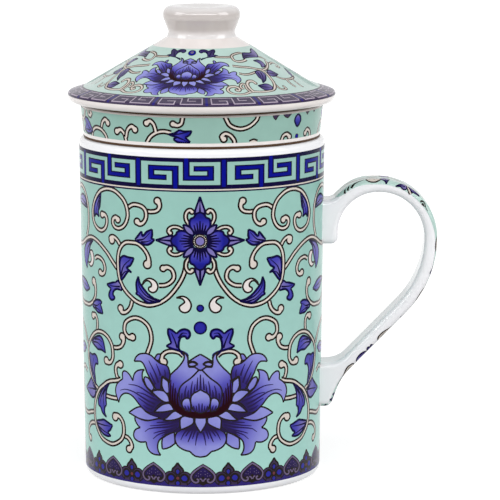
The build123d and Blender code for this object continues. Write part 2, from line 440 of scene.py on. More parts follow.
# Each stem: its points and the balls at its ends
BRANCHES = [
    ([(12.8, 90.0), (12.3, 89.2), (12.2, 88.2), (12.7, 87.3), (13.6, 86.8), (15, 86.6), (16.3, 86.7)],
     0.8, 0),
    ([(23, 87.1), (22.2, 87.8), (20.9, 88.4), (19.3, 88.4), (17.7, 87.9), (16.7, 86.8), (16.5, 85.4),
      (16.8, 84.1), (17.7, 83), (18.8, 82.7), (19.6, 83.3)], 0, 0.75),
    ([(26.2, 75.7), (26.9, 76.7), (27.9, 77.5), (29.1, 77.8), (30.05, 77.3), (29.6, 76.8)], 0, 0.95),
    ([(12.6, 64.3), (10.6, 64.5), (9.05, 65.3), (8, 66.6), (7.9, 67.9), (8.5, 69.3), (9.8, 70),
      (11.2, 69.6)], 0, 0.7),
    ([(21.8, 58.9), (22.2, 57.4), (23, 56.1), (24.4, 55.1), (25.8, 55.1), (26.3, 56.1)], 0, 0.85),
    ([(27.4, 68.2), (29.7, 70.5), (31.6, 72.4), (33.7, 73.9), (35.8, 75.1), (38.2, 76), (40.8, 76.3),
      (43.5, 75.8), (45.8, 74.9), (48.6, 73.7), (52, 72.9), (58.6, 72.5)], 0, 0),
    ([(38.7, 70), (37.2, 70.7), (35.3, 70.5), (33.9, 69.6), (33.1, 67.9), (33.5, 66.3), (34.8, 65.7),
      (35.6, 66.05)], 0, 0.75),
    ([(39.8, 62.7), (39, 61.8), (38.6, 60.3), (39, 58.2), (40.3, 56.6), (42.05, 55.5), (44, 54.9),
      (46.2, 54.8), (49, 54.7), (52.5, 55.6), (55, 58), (55.4, 60.6)], 1.0, 0.8),
    ([(38.2, 47.9), (37.9, 49.7), (38.2, 51.3), (39.3, 52.3), (40.7, 51.9)], 0, 0.85),
    ([(44.6, 76.2), (43.2, 79), (42.7, 82.5), (43.3, 86.5), (45.4, 89.7), (48.6, 91.2), (52.5, 91),
      (55.5, 89.4), (57, 87), (56.6, 84.6), (55, 83.8)], 0, 0.9),
    ([(41, 21.7), (44, 21.05), (47.6, 20.2), (51, 20.6), (54, 22.4), (55, 25), (53.6, 27)], 0, 0.85),
    ([(40.6, 18.2), (42.9, 17.9), (45.1, 16.9), (46.6, 15.2), (46.4, 13.4), (45, 12.6)], 0, 0.8),
    ([(26, 16.6), (24.2, 16.2), (23, 15), (22.7, 13.6), (23.7, 12.7)], 0, 0.85),
    ([(45.6, 42.6), (49, 46.6), (53, 48.6), (58.6, 49.2)], 0, 0),
    ([(47, 33.5), (50, 34.6), (53.6, 33.6), (55.4, 31.2), (54.4, 29.2)], 0, 0.8),
]

STEMS = [
    ([(26.9, 83.3), (27.7, 83.9), (28.8, 83.4), (29.05, 82.2), (28.3, 81.05), (26.7, 80.65), (25.1, 81.2),
      (23.9, 82.4), (23.1, 84.2), (23, 85.8), (23.5, 87.9), (24.6, 89.7), (26.2, 91.05), (28, 92),
      (30.2, 92.4), (32.4, 92.2), (34.8, 91.3), (36.9, 89.6), (38.5, 87.4), (39.5, 85), (39.5, 82.9),
      (38.5, 80.8), (36.6, 79.5), (34.5, 79.2), (32.7, 80.1), (31.8, 81.8), (31.9, 83.4), (32.8, 84.2),
      (34, 84.1)], 0.75, 0.75),
    ([(3.1, 72.9), (4.1, 71.8), (4.4, 69.7), (4.9, 67.9), (5.9, 65.8), (7.1, 63.9), (8.5, 62.1),
      (10.2, 60.4), (12.2, 59.1), (14.3, 58.3), (16.2, 58), (18.3, 58.3), (20.4, 58.95), (22.5, 60.3),
      (24.3, 61.8), (25.9, 63.9), (26.8, 66.3), (27.1, 68.7), (27.1, 71.3), (26.6, 73.7), (25.5, 75.5),
      (23.9, 76.6), (21.9, 76.8), (19.8, 76.7), (18.1, 75.8), (16.7, 74.3), (15.9, 72.6), (15.9, 71.2),
      (16.3, 70.5)], 0, 1.0),
]

LOW_BRANCHES = [
    ([(25.8, 47.4), (25.4, 46.9), (25.4, 45.8), (26.3, 44.4), (28, 43.7), (30, 43.6)], 0.9, 0),
    ([(26.8, 38.7), (28.1, 38.4), (28.8, 37.2), (28.6, 35.5), (27.9, 34.25), (26.9, 34)], 0.9, 0),
    ([(28.2, 27.9), (31, 27.8), (34, 28)], 0, 0),
    ([(5.1, 43), (6.3, 44), (8.3, 44.4), (10.2, 44.1), (11.6, 43), (11.9, 41.6), (11.3, 40.9)], 0, 0.9),
]

LOW_STEMS = [
    ([(16.9, 42.6), (15.8, 45.2), (15.2, 47.4), (15.4, 49.7), (16.3, 51.75), (18.3, 53.3), (20.5, 53.8),
      (22.7, 53.2), (24.4, 51.9), (24.9, 49.9), (24.5, 48.6), (23.3, 47.6), (21.8, 47.7)], 0, 0.85),
    ([(33.2, 39), (32.3, 38.6), (31.1, 38.8), (30.1, 40.2), (30, 42.2), (30.5, 44.4), (32.05, 46.3),
      (34, 47.3), (35.9, 47.6), (38.2, 47.3), (40.4, 46.3), (42.3, 44.9), (44, 43.3), (45.25, 41.05),
      (45.4, 38.8), (44.8, 36.3), (43.7, 33.8), (42.05, 31.9), (40.4, 30.5), (38.4, 29.4)], 0.9, 0),
    ([(26.8, 34), (28.7, 33.4), (30.9, 33), (32.9, 32.3), (35.1, 30.9), (37.05, 29.7), (38.4, 28.3),
      (39.7, 26.3), (40.7, 23.8), (40.9, 21.6), (40.7, 19.4), (39.8, 17.4), (38.4, 15.8), (36.5, 14.3),
      (34, 13.5), (31, 13.2), (28.6, 14), (26.7, 15.4), (25.8, 17.2), (25.7, 19.1), (26.1, 20.8),
      (27.3, 22.2), (28.5, 22.5), (29.4, 22)], 0, 1.0),
]

# Pale drops beside the stems
COMMAS = [
    [(18.1, 64.1, 0), (17.5, 65.3), (16.2, 66.2), (14.8, 66.2), (13.5, 65.4), (12.9, 63.9), (13.5, 62.5),
     (14.6, 62), (15.8, 62.5), (15.9, 63.4), (15.1, 63.9), (15.05, 64.7), (15.9, 65.5), (16.9, 65.4)],
    [(7.2, 60.8, 0), (5.4, 61.3), (3.9, 60.8), (2.9, 59.5), (2.7, 58.2), (3.4, 56.8), (4.6, 56.3),
     (5.9, 56.8), (6.3, 58), (5.4, 58.9), (4.7, 59.5), (5.1, 60.3), (5.9, 60.7)],
    [(44, 68.4, 0), (42.9, 67.4), (41.4, 67.1), (40.05, 68), (39.4, 69.7), (39.8, 71.3), (40.8, 72.2),
     (42.2, 71.8), (41.6, 70.5), (41.4, 69.1), (42.4, 68.2)],
]

# Each leaf: its outline, the base and the tip of its fade, and its veins
LEAVES = [
    ([(34.5, 90.7, 0), (36.4, 89.2), (37.9, 87.4), (38.7, 85.5), (38.3, 82.9, 0), (37.4, 83.9),
      (35.7, 83.2, 0), (36, 85), (35.2, 86.3), (34.8, 88.2)],
     (35, 90.5), (37.5, 83),
     [[(35, 89.6), (36.4, 87.2), (37.6, 84.2)], [(35.2, 88.4), (36, 86.2), (36, 84.2)]]),
    ([(20.4, 77.8, 0), (19.05, 79.5), (18.1, 80.5, 0), (17.7, 79.2), (16.4, 80.5), (14.6, 81.3, 0),
      (14.5, 79.5), (14.7, 78.5), (13.8, 78.3, 0), (14.8, 77.1), (16.2, 76.4), (18, 76.6), (19.8, 77.3)],
     (20.4, 77.4), (14.2, 80.6),
     [[(19.8, 77.6), (17.4, 78.2), (15.2, 80.4)], [(18.4, 77.2), (16.4, 77.4), (14.9, 78)]]),
    ([(20.9, 72.1, 0), (23, 72.2), (24.6, 72.5), (25.9, 71.8), (26.4, 70.5), (26.5, 68.7), (26.3, 66.6),
      (25.8, 64.9), (24.7, 65.8), (23.7, 67.1), (23, 67.8), (21.8, 67.6, 0), (22.9, 68.4), (23.5, 68.9),
      (22.3, 69.6), (21.4, 70.9)],
     (26, 65.2), (21.6, 72),
     [[(26, 66), (24.9, 69.2), (22.2, 71.6)], [(25.8, 65.8), (24.6, 67.4), (23, 68.1)]]),
    ([(19.4, 66.6, 0), (20.2, 64.7), (20.2, 62.9), (20, 61.6), (20.5, 61.3, 0), (19.05, 60.5), (17.7, 59.5),
      (16.2, 58.7), (14.3, 58.9), (12.2, 59.6), (14.3, 60.3), (16.2, 61.6), (17.7, 63.2), (18.9, 64.7)],
     (12.4, 59.6), (19.4, 66),
     [[(13, 59.6), (16.6, 60.8), (19.2, 63.6), (19.4, 65.8)], [(14, 59.2), (17, 60), (19.6, 62)]]),
    ([(34.6, 53.4, 0), (35.1, 54.9), (35.9, 56.05, 0), (35, 56.9, 0), (36.2, 57.4), (38.4, 57.2),
      (40.4, 56.05), (40.7, 54.8), (39, 54.1), (37.6, 53.4)],
     (41, 55.2), (35, 55.6),
     [[(40.2, 55.4), (38, 55.4), (36.2, 56.4)], [(39.4, 54.8), (37.4, 54.4), (35.4, 53.9)]]),
    ([(42.8, 60, 0), (46, 62), (50, 62.6), (54, 61.8), (50, 59.6), (46, 58.8)],
     (54, 61.4), (43, 60.2), [[(53, 61.4), (48.6, 60.8), (44.4, 60.2)]]),
    ([(39.8, 75.4, 0), (42.4, 75), (45, 74.2), (47.7, 71.3), (47.2, 68.2), (45, 66, 0), (44.5, 67.6),
      (42.9, 70.8), (41.9, 73.4)],
     (40.4, 75.2), (45.6, 66.8), [[(41, 75), (44.2, 72.2), (45.2, 67.4)]]),
    ([(43.9, 85, 0), (45.5, 88), (48, 88.8), (51.5, 88), (55, 86.5, 0), (50, 85.6), (47, 85.4)],
     (44, 85.4), (54.4, 86.6), [[(44.6, 85.8), (49, 87), (53.6, 86.6)]]),
]

LOW_LEAVES = [
    ([(42.2, 43.6, 0), (40.4, 44.9), (38.4, 45.8), (36.5, 46.2), (35.1, 45.5), (34.3, 44.1),
      (33.6, 41.3, 0), (35.7, 41.9), (37.9, 41.75), (39.6, 42.4), (41.2, 43)],
     (42, 43.6), (34, 42),
     [[(41.4, 43.6), (38, 43.8), (35, 42.6)], [(40, 44.6), (37.4, 45), (35.4, 44.4)]]),
    ([(38, 37, 0), (38.2, 38.6), (39.3, 39.8), (40.7, 39.9), (42.05, 39.5), (44, 39.8, 0), (44.4, 38.8),
      (44, 36.9), (43.4, 34.9), (41.8, 32.2), (39.6, 30.2, 0), (40.1, 33), (40.4, 34.7), (40.1, 36.05),
      (39.3, 37)],
     (39.8, 30.6), (41, 39.8),
     [[(40.4, 32), (42, 35.4), (41, 38.6)], [(41.4, 33.2), (43, 36), (43.2, 38.8)]]),
    ([(32.05, 31.9, 0), (34.3, 30.8), (36.2, 29.1), (37.6, 27.2), (38.4, 25.8), (38.2, 24.25, 0),
      (37.05, 23.8), (35.9, 22.2), (33.7, 21.2, 0), (34.6, 22.7), (34.3, 24.4), (33.6, 24.9, 0),
      (33.7, 26.9), (33.6, 28.8), (33, 30.5)],
     (33, 31.4), (36, 22.6),
     [[(33.4, 30.8), (35.2, 27.6), (34.8, 23)], [(34.2, 30), (36.4, 27.2), (37.4, 24.6)]]),
    ([(39.6, 29, 0), (41.2, 30.6), (43.2, 32, 0), (45.1, 30.5), (47.05, 29.1), (49, 27.9, 0), (46.2, 26.9),
      (44, 26.05), (41.8, 25.9), (40.4, 26.9)],
     (39.8, 28.6), (48.6, 28), [[(39.7, 28.8), (43, 28.6), (47, 28)], [(40.2, 29), (42, 30), (43, 31.2)]]),
    ([(30.7, 19.1, 0), (32.3, 19.5), (35, 20.2), (36.5, 19.9), (39.6, 19.1, 0), (39, 18), (37.6, 16.6),
      (35.7, 15.5), (33.4, 15.2), (31.6, 15.6, 0), (32.9, 16.6), (31.8, 17.4)],
     (39.4, 18.4), (31, 17.6),
     [[(39, 18.4), (35.4, 18.4), (31.8, 18.6)], [(38, 17.4), (35.4, 16.6), (32.6, 16)]]),
    ([(47.5, 40.8, 0), (50, 42), (54, 41.6), (57.5, 40, 0), (54, 38.6), (50, 39)],
     (57, 40), (48, 40.6), [[(56, 40), (52, 40.6), (49, 40.6)]]),
]

SPROUT = (
    [(26.1, 63.4, 0), (27.2, 64.6), (28.2, 63.9, 0), (29.8, 63.7), (32.3, 62.8, 0), (31, 62),
     (30.3, 61.7, 0), (31.2, 60.5), (31.4, 59.2), (30.3, 58.2), (29, 58.6), (28.7, 59.3), (29.4, 60),
     (29.1, 61.05), (27.9, 61.8), (25.6, 61.7, 0)],
    (25.8, 62.6), (31.6, 61), [[(26.4, 62.8), (28.6, 62.6), (31, 62.6)]],
)

CROWN_SPROUT = (
    [(3.7, 42.2, 0), (4, 43.3), (5.2, 44.1), (7.2, 44.7), (9.1, 45.2), (10.4, 45.9, 0), (8.8, 46.9, 0),
     (9.4, 48.3), (9.9, 49.9), (9.8, 51.3, 0), (8.55, 50.9), (7.2, 49.8, 0), (6.05, 50.9), (4.7, 51.3),
     (3.4, 50.8), (3, 49.7), (3.3, 48.8), (4, 48.3), (4.7, 49), (5.8, 48.7), (6.3, 47.7), (6.5, 46.3),
     (6.3, 44.9)],
    (5, 43.4), (8, 51), [[(7, 45.4), (7.6, 47.4), (8.8, 50)], [(6.6, 48.4), (5.4, 50), (4, 49.9)]],
)

# The lotus, right half, from the back to the front: outline, base and tip of its fade, shades, veins
LOTUS_BACK = [
    ([(8.1, 19.4, 0), (9.6, 18.8), (10.8, 18.1), (11.9, 17.3, 0), (12.1, 16.2), (12.1, 15), (11.9, 13.9, 0),
      (10.8, 14.1), (9.6, 14.6), (8.6, 15.3), (7.9, 16)],
     (9.4, 18.4), (10.6, 15.4), 0.75, 0.95, []),
    ([(6.3, 23.6, 0), (7.6, 23.2), (9.4, 23.1), (11.6, 23.2), (13, 23.3), (14.8, 22.8), (17, 22.3),
      (19, 22.5), (21.2, 23.2, 0), (21.3, 22.3), (20.8, 21.2), (20.1, 20.4), (19.4, 19.95, 0), (20.6, 19.5),
      (21.5, 18.7), (21.9, 17.5), (21.6, 16.4), (20.6, 15.7), (19.3, 15.4), (17.4, 15.7, 0), (17.2, 14.6),
      (16.7, 13.4), (15.8, 12.5), (14.4, 12), (12.5, 11.95, 0), (13.2, 13), (13.5, 14.4), (13.3, 15.8),
      (12.8, 16.7), (11.9, 17.5), (10.5, 18.5), (9, 19.3), (7.6, 20), (6.5, 20.9), (6.3, 22)],
     (8.4, 21.6), (18.6, 16.4), 0.06, 1.0,
     [[(6.7, 22.8), (9, 22.1), (12, 21.4), (14.4, 21), (16, 20.8)],
      [(7, 21.8), (10, 20.9), (13, 20.5), (16.2, 19.9), (17.8, 18.8)],
      [(7.2, 20.9), (10, 20), (12.8, 19.3), (14.8, 18.6)],
      [(8, 20.3), (11, 19.2), (13.4, 18.2), (15, 16.8)], [(9.6, 22.6), (12, 22.2), (13.8, 22)],
      [(8.4, 19.8), (10.4, 19), (12.2, 18)]]),
    ([(12.2, 23.7, 0), (14, 23.95), (15.8, 24.4), (17.2, 25), (18.2, 25.8), (19, 26.4), (20.2, 26.2),
      (21.6, 25.5), (22.8, 24.7), (23.6, 24.1, 0), (22, 23.5), (20.4, 22.9), (18.6, 22.5), (16.8, 22.4),
      (14.8, 22.8), (13.2, 23.3)],
     (13.6, 23.6), (20, 24.6), 0.75, 1.0, []),
    ([(0, 21, 0), (5, 21), (6.3, 20, 0), (7.2, 19.4), (7.8, 18.3), (7.9, 17), (7.4, 15.7), (6.6, 14.8),
      (5.4, 14.1), (4.2, 13.7), (3.3, 13.55, 0), (2.6, 12.8), (1.6, 12.1), (0, 11.8, 0)],
     (0, 20.2), (0.6, 14.6), 0.06, 1.0,
     [[(0.7, 19.6), (1.2, 18), (1.6, 15.4)], [(2.2, 20.6), (3, 18.6), (3.9, 16.4)],
      [(3.4, 20.8), (5, 19.2), (6.1, 17)], [(1.5, 20.4), (2.1, 18.8), (2.5, 17.4)],
      [(2.9, 20.6), (4, 19.2), (4.6, 18.2)]]),
    ([(17.7, 38.1, 0), (19, 37.9), (20.2, 37.5), (21.2, 36.6), (21.7, 35.4), (21.9, 34.2, 0), (22.5, 35.2),
      (23.4, 36.2), (24.6, 36.85), (25.6, 36.7), (26, 35.8), (25.9, 34.3, 0), (27, 33.6), (28.2, 32.6),
      (28.9, 31.2), (29, 29.7), (28.5, 28.4), (27.7, 26.7, 0), (27.3, 28), (26.4, 29.2), (25.2, 29.9),
      (24, 30.05), (22.6, 29.7), (21.3, 28.8), (20, 27.4), (18.8, 26.3), (17.5, 25.3), (16, 24.8),
      (14.8, 25.1, 0), (14, 26.3), (12.6, 27.9), (11.4, 28.4, 0), (13.1, 29.6), (15, 31), (16.6, 32.2),
      (17.7, 33.6), (18.4, 35), (18.5, 36.4), (18.3, 37.4)],
     (14.4, 27.6), (23.4, 33.6), 0.06, 1.0,
     [[(14.4, 30.1), (17, 31.4), (19, 32.4), (21, 32.9), (23.6, 32.9)],
      [(12.8, 28.7), (15.5, 29.5), (18, 30.5), (20.6, 30.8)],
      [(14.2, 27.7), (17, 28.7), (19.5, 29.9), (22, 30.9), (25, 31.2), (27, 30.6)],
      [(14.6, 26.7), (16.5, 27.3), (18.6, 28.4), (20, 29.1)], [(15.2, 25.8), (16.8, 26.2), (18.2, 27)]]),
    ([(12.2, 43.3, 0), (13.2, 43.2), (13.9, 42.4), (14.2, 41.6, 0), (13, 41.2), (12.5, 42)],
     (13, 41.4), (13.2, 43), 0.7, 0.8, []),
    ([(9.3, 37, 0), (9.5, 38.3), (9.9, 39.4), (10.5, 40, 0), (12.3, 40.4), (13.6, 41.2), (14.2, 41.7),
      (15.3, 42.6), (16.8, 43.1), (18.2, 43.05), (19.6, 42.6), (20.7, 41.6), (21.3, 40.3, 0), (20, 40.5),
      (18.9, 40.5), (18, 39.8), (17.4, 38.7), (16.9, 37.4), (16.1, 36), (15.3, 34.7), (14.4, 33.3),
      (13.9, 32.3, 0), (12.3, 32.3, 0), (12.1, 34.6), (11.8, 36.4), (10.6, 36), (9.5, 35.2, 0)],
     (13, 35), (17.6, 42), 0.16, 1.0,
     [[(12.3, 36.6), (12.9, 38.4), (13.7, 40.2)], [(13, 34.4), (13.9, 36.8), (14.8, 38.6), (16.2, 41)],
      [(10.9, 36.2), (10.8, 37.4), (11, 38.6)], [(14, 33.8), (15, 35.8), (15.8, 37.4)]]),
    ([(14.4, 32.6, 0), (15.1, 34), (16, 35.2), (16.6, 35.7), (17.6, 35.9, 0), (17.9, 35), (17.5, 33.9),
      (16.9, 32.8), (15.8, 31.9), (15.3, 31.6, 0)],
     (15.4, 32.2), (17.2, 35.4), 0.75, 0.9, []),
]

# The dark ground between the lotus's petals
LOTUS_GAPS = [
    (0, 26, 0), (9.4, 34, 0), (11.8, 33.4, 0), (12.2, 32.5, 0), (14.4, 32.4, 0), (15.4, 31.4, 0),
    (11.6, 28.4, 0), (14.2, 26.4, 0), (15.2, 25, 0), (16.2, 24.9, 0), (15.8, 24.3, 0), (14, 23.9, 0),
    (12.6, 23.8, 0), (11.6, 22.7, 0), (6.5, 22.6, 0), (6.5, 20.9, 0), (7.7, 20, 0), (8.3, 19.4, 0),
    (7.7, 19.2, 0), (6.2, 20.1, 0), (0, 20, 0),
]

# Lines that some of the front petals and shades share: down the outside of the lotus's heart, and up its bowl
LOTUS_SIDE = [
    (9.65, 32.6), (9.5, 30), (9.1, 28.2), (8.3, 26.7), (7, 25.6), (5, 24.6), (2.6, 24.1), (0, 23.95, 0),
]
LOTUS_BOWL = [
    (3, 25.8), (5.4, 27.6), (6.4, 29.5), (6.6, 31), (6.5, 32.4), (6, 33.6), (5, 34.7), (3.6, 35.7),
    (2.2, 36.9), (1.2, 38),
]

LOTUS_FRONT = [
    ([(2.1, 23.9, 0), (3.6, 24.4), (4.8, 24.5), (5.8, 24.1), (6.3, 23.2), (6.3, 21.8), (6.1, 20.2, 0),
      (5, 20.6), (3.8, 21.2), (2.6, 21.9), (2.1, 22.6)],
     (3.2, 22), (4.6, 23.8), 0.9, 1.0, []),
    ([(0, 24, 0), (1.7, 24, 0), (1.75, 22.6), (1.2, 21.2), (0.4, 20), (0, 19.3, 0)],
     (0, 20), (0, 23.6), 0.9, 1.0, []),
    ([(5.2, 24.5, 0), (6.2, 25.3), (7.2, 25.9), (8.2, 25.8), (9.2, 25.1), (10.2, 24), (11.6, 23, 0),
      (9.8, 22.9), (8, 23.2), (6.6, 23.7)],
     (10.6, 23.2), (7.6, 25.4), 0.85, 1.0, []),
    ([(8.1, 26.2, 0), (8.8, 27.5), (9.6, 28.2), (10.6, 28.1), (11.8, 27.7), (13, 26.8), (14.6, 25.2, 0),
      (12.6, 25.3), (10.6, 25.6), (9, 26)],
     (13.4, 25.6), (10, 27.6), 0.85, 1.0, []),
    ([(9.5, 28.7, 0), (9.9, 30.4), (10.6, 31.4), (11.6, 32), (13, 32.15), (14.4, 31.9), (15.3, 31.5, 0),
      (14, 30.4), (12.6, 29.3), (11.3, 28.6), (10.4, 28.5)],
     (14.2, 31), (11, 30), 0.85, 1.0, []),
    ([(9.6, 31.4, 0), (9.7, 33.5), (10, 35), (11.7, 36.2, 0), (11.95, 34.8), (11.9, 33.4), (11.2, 31.9),
      (10.4, 31.3)],
     (10.6, 31.8), (11, 35.4), 0.85, 0.95, []),
    ([(0.5, 38.8, 0), (1.6, 39.6), (3.5, 39.6, 0), (3.75, 41), (3.75, 42.4), (4.3, 43.5), (5.3, 44.4, 0),
      (4.9, 43.2), (5, 42), (5.8, 40.6), (7.2, 39), (8.5, 37.8), (9.2, 37, 0), (9.5, 35), *LOTUS_SIDE,
      (0, 25, 0), *LOTUS_BOWL],
     (9, 30.4), (4.6, 38.6), 0.1, 0.95, []),
    ([(0.9, 40.5, 0), (1.7, 41), (2.8, 41.1), (3.8, 40.6, 0), (3.2, 39.95), (2.1, 39.95)],
     (1.2, 40.5), (3.4, 40.5), 0.85, 0.95, []),
    ([(0, 43.6, 0), (1.3, 42.9), (2.7, 41.95), (3.9, 41.2, 0), (2.8, 41.4), (1.6, 41.25), (0.75, 40.5, 0),
      (1.7, 40.1, 0), (1.6, 39.6, 0), (0.5, 38.8, 0), (0, 38.7, 0)],
     (0, 39.4), (0, 43.2), 0.7, 0.9, []),
    ([(0, 38.7, 0), (0.5, 38.7, 0), *LOTUS_BOWL[::-1], (0, 25, 0)],
     (1.6, 30.6), (2.2, 36.6), 0.16, 0.9,
     [[(0.05, 32.8), (0.05, 35), (0.05, 37.4)], [(1.05, 32.6), (0.95, 34.5), (0.8, 36.5)],
      [(2.9, 30.8), (2.8, 33), (2.4, 35.3)], [(4.7, 30), (4.7, 32), (4.2, 33.9)],
      [(1.9, 31.8), (1.8, 33), (1.6, 34.4)], [(5.7, 28.6), (5.8, 30), (5.6, 31.6)],
      [(3.8, 30.2), (3.8, 31.4), (3.6, 32.6)]]),
]

# The shade round the lotus's heart, its darkest part and the lines in it
LOTUS_SHADE = [
    (9.55, 34.6, 0), *LOTUS_SIDE, (0, 25.6, 0), (3, 26), (5, 27), (6.1, 28.4), (6.6, 30), (7.2, 32),
    (8.4, 33.4),
]

LOTUS_BASE = [
    (9.45, 29.6, 0), *LOTUS_SIDE[2:], (0, 25.7, 0), (3, 26), (5, 26.8), (6.6, 27.6), (8, 28.4),
]

LOTUS_SHADE_LINES = [
    [(9.3, 28.4), (9.3, 31.4), (9, 35.6)],
    [(8.5, 27.8), (8.6, 30.8), (8.2, 34.6)],
    [(7.7, 27.4), (7.9, 30), (7.6, 33.2)],
    [(6.8, 27.2), (7.1, 29.2), (7, 31.6)],
]

LOTUS_HEART = [
    ([(3.3, 29.9, 0), (4.2, 30.1), (5.2, 29.6), (5.7, 28.5), (5.4, 27.2), (4.6, 26.3), (3, 25.9, 0),
      (2.9, 27.2), (3, 28.6)],
     (4, 26.2), (4.4, 29), 0.1, 1.0,
     [[(3.5, 26), (3.6, 26.8), (3.9, 27.8)], [(4.3, 26.2), (4.6, 27), (4.8, 27.8)]]),
    ([(0, 32.7, 0), (0.8, 32.2), (2, 31.6), (2.8, 30.6), (3, 29.2), (2.7, 27.6), (2, 26.3), (0, 25.4, 0)],
     (0, 26), (0.4, 30.4), 0.2, 1.0,
     [[(0.4, 25.6), (0.45, 27), (0.5, 28.5)], [(1.1, 25.8), (1.25, 26.8), (1.3, 27.8)],
      [(1.8, 26.2), (2, 27), (2.1, 27.8)]]),
]

LOTUS_GAPS_FADE = ((0, 21), (0, 32), 0.0, 0.02)
LOTUS_SHADE_FADE = ((8.6, 27.6), (7.4, 33.4), 0.0, 0.2)

# The four-petalled flower, for the petal that points along x: the foot, a side and the point of its lobe, its
# tip with a vein, the narrow petal between two lobes and a curl
FLOWER_LOBE_FOOT = [(2.2, -1.7, 0), (2.2, 1.7, 0)]
FLOWER_LOBE_SIDE = [(4.0, 2.9), (5.6, 3.2), (6.8, 2.75), (7.2, 1.9), (8.3, 1.1)]
FLOWER_LOBE_POINT = (8.8, 0, 0)
FLOWER_TIP = [(7.2, 1.2), (9.3, 1.4), (11.3, 0.75), (13.5, 0, 0), (11.3, -0.75), (9.3, -1.4), (7.2, -1.2)]
FLOWER_TIP_VEIN = [(8.8, 0), (11, 0.1), (12.8, 0)]
FLOWER_BETWEEN = [
    (2.4, 0, 0), (3.6, 0.75), (5, 0.9), (6.2, 0.5), (7.1, 0, 0), (6.2, -0.5), (5, -0.9), (3.6, -0.75),
]
FLOWER_CURL = [(4.9, 3.2), (6.5, 4.1), (8.0, 4.2), (9.1, 3.6), (9.35, 2.8), (8.9, 2.35)]
FLOWER_CURL_HALF = 0.22
FLOWER_CURL_BALL = 0.42

# Veins of a lobe: height of the start, reach and height of the end
FLOWER_VEINS = [(0, 6.2, 0), (0.55, 5.6, 0.9), (-0.55, 5.6, -0.9), (1.1, 5, 1.8), (-1.1, 5, -1.8)]
FLOWER_VEIN_START = 2.2
FLOWER_VEIN_HALF = 0.3
FLOWER_TIP_VEIN_HALF = 0.26

# Fades of its petals
FLOWER_LOBE_FADE = ((3.4, 0), (7.4, 0), 0.75, 0.16)
FLOWER_TIP_FADE = ((7.8, 0), (13, 0), 0.9, 1.0)
FLOWER_BETWEEN_FADE = ((2.4, 0), (6, 0), 0.85, 1.0)

# The flower's round heart, with a ring of beads in its rim
HEART_RIM = 2.25
HEART = 1.2
HEART_SHADES = (0.95, 1.0)
BEAD_RING = 1.75
BEAD = 0.16
BEAD_COUNT = 20

# Depth and shade of the dark band inside a leaf's contour
LEAF_RIMS = [(0.5, 0.14)]

# Shade of a leaf at its base and at its tip
LEAF_SHADES = (1.0, 0.42)
COLLAR_LEAF_SHADES = (0.85, 0.2)
LID_LEAF_SHADES = (0.0, 0.85)
LID_SPROUT_SHADES = (0.3, 0.0)
HANDLE_LEAF_SHADES = (1.0, 0.25)


def draw_leaf(sheet, leaf, shades=LEAF_SHADES, ink="bloom", contour=CONTOUR, rims=LEAF_RIMS):
    outline, base, tip, veins = leaf
    sheet.petal(ink, outline, (base, tip, *shades), contour, rims, "navy")
    for vein in veins:
        sheet.vein(vein, VEIN, "navy")


def draw_dull_leaf(sheet, leaf, shades):
    """A leaf in the grey violet of the lid and the handle."""
    draw_leaf(sheet, leaf, shades, "heather", DULL_CONTOUR, ())


def draw_petals(sheet, petals):
    for outline, base, tip, base_shade, tip_shade, veins in petals:
        sheet.petal("petal", outline, (base, tip, base_shade, tip_shade), PETAL_CONTOUR)
        for vein in veins:
            sheet.vein(vein, PETAL_VEIN, "vein")


def draw_lotus(sheet):
    draw_petals(sheet, LOTUS_BACK)
    sheet.fill("petal", LOTUS_GAPS, LOTUS_GAPS_FADE)
    draw_petals(sheet, LOTUS_FRONT)
    sheet.fill("petal", LOTUS_SHADE, LOTUS_SHADE_FADE)
    for line in LOTUS_SHADE_LINES:
        sheet.vein(line, SHADE_VEIN, "wine")
    sheet.fill("wine", LOTUS_BASE)
    draw_petals(sheet, LOTUS_HEART)


def draw_flower(sheet, centre):
    """A four-petalled flower with pointed tips, pale petals between and thin curls. What lies left of the
    middle line is left to the mirror image."""
    other_side = [turned_over(point) for point in FLOWER_LOBE_SIDE[::-1]]
    lobe = FLOWER_LOBE_FOOT + FLOWER_LOBE_SIDE + [FLOWER_LOBE_POINT] + other_side
    plain = sheet.move

    def turned(angle):
        def move(point):
            x, y = spin(point, angle)
            return plain((centre[0] + x, centre[1] + y))
        return move

    quarters = [radians(angle) for angle in (-90, 0, 90)]
    for angle in quarters:
        sheet.move = turned(angle)
        for curl in (FLOWER_CURL, [turned_over(point) for point in FLOWER_CURL]):
            sheet.vine(curl, 0, FLOWER_CURL_BALL, FLOWER_CURL_HALF)
        sheet.petal("bloom", FLOWER_TIP, FLOWER_TIP_FADE, CONTOUR, (), "navy")
        sheet.vein(FLOWER_TIP_VEIN, FLOWER_TIP_VEIN_HALF, "navy")
    for angle in quarters:
        sheet.move = turned(angle)
        sheet.petal("bloom", lobe, FLOWER_LOBE_FADE, CONTOUR, LEAF_RIMS, "navy")
        for start, reach, end in FLOWER_VEINS:
            middle = (FLOWER_VEIN_START / 2 + reach / 2, (start + end) / 2)
            sheet.vein([(FLOWER_VEIN_START, start), middle, (reach, end)], FLOWER_VEIN_HALF, "navy")
    for angle in (-45, 45):
        sheet.move = turned(radians(angle))
        sheet.petal("bloom", FLOWER_BETWEEN, FLOWER_BETWEEN_FADE, CONTOUR, (), "navy")
    sheet.move = plain
    sheet.dot("line", centre, HEART_RIM)
    for step in range(BEAD_COUNT):
        turn = 2 * pi * (step + 0.5) / BEAD_COUNT
        sheet.dot("cream", (centre[0] + BEAD_RING * sin(turn), centre[1] + BEAD_RING * cos(turn)), BEAD)
    sheet.dot("bloom", centre, HEART, (centre, (centre[0], centre[1] + 1), *HEART_SHADES))


# The wall's panels

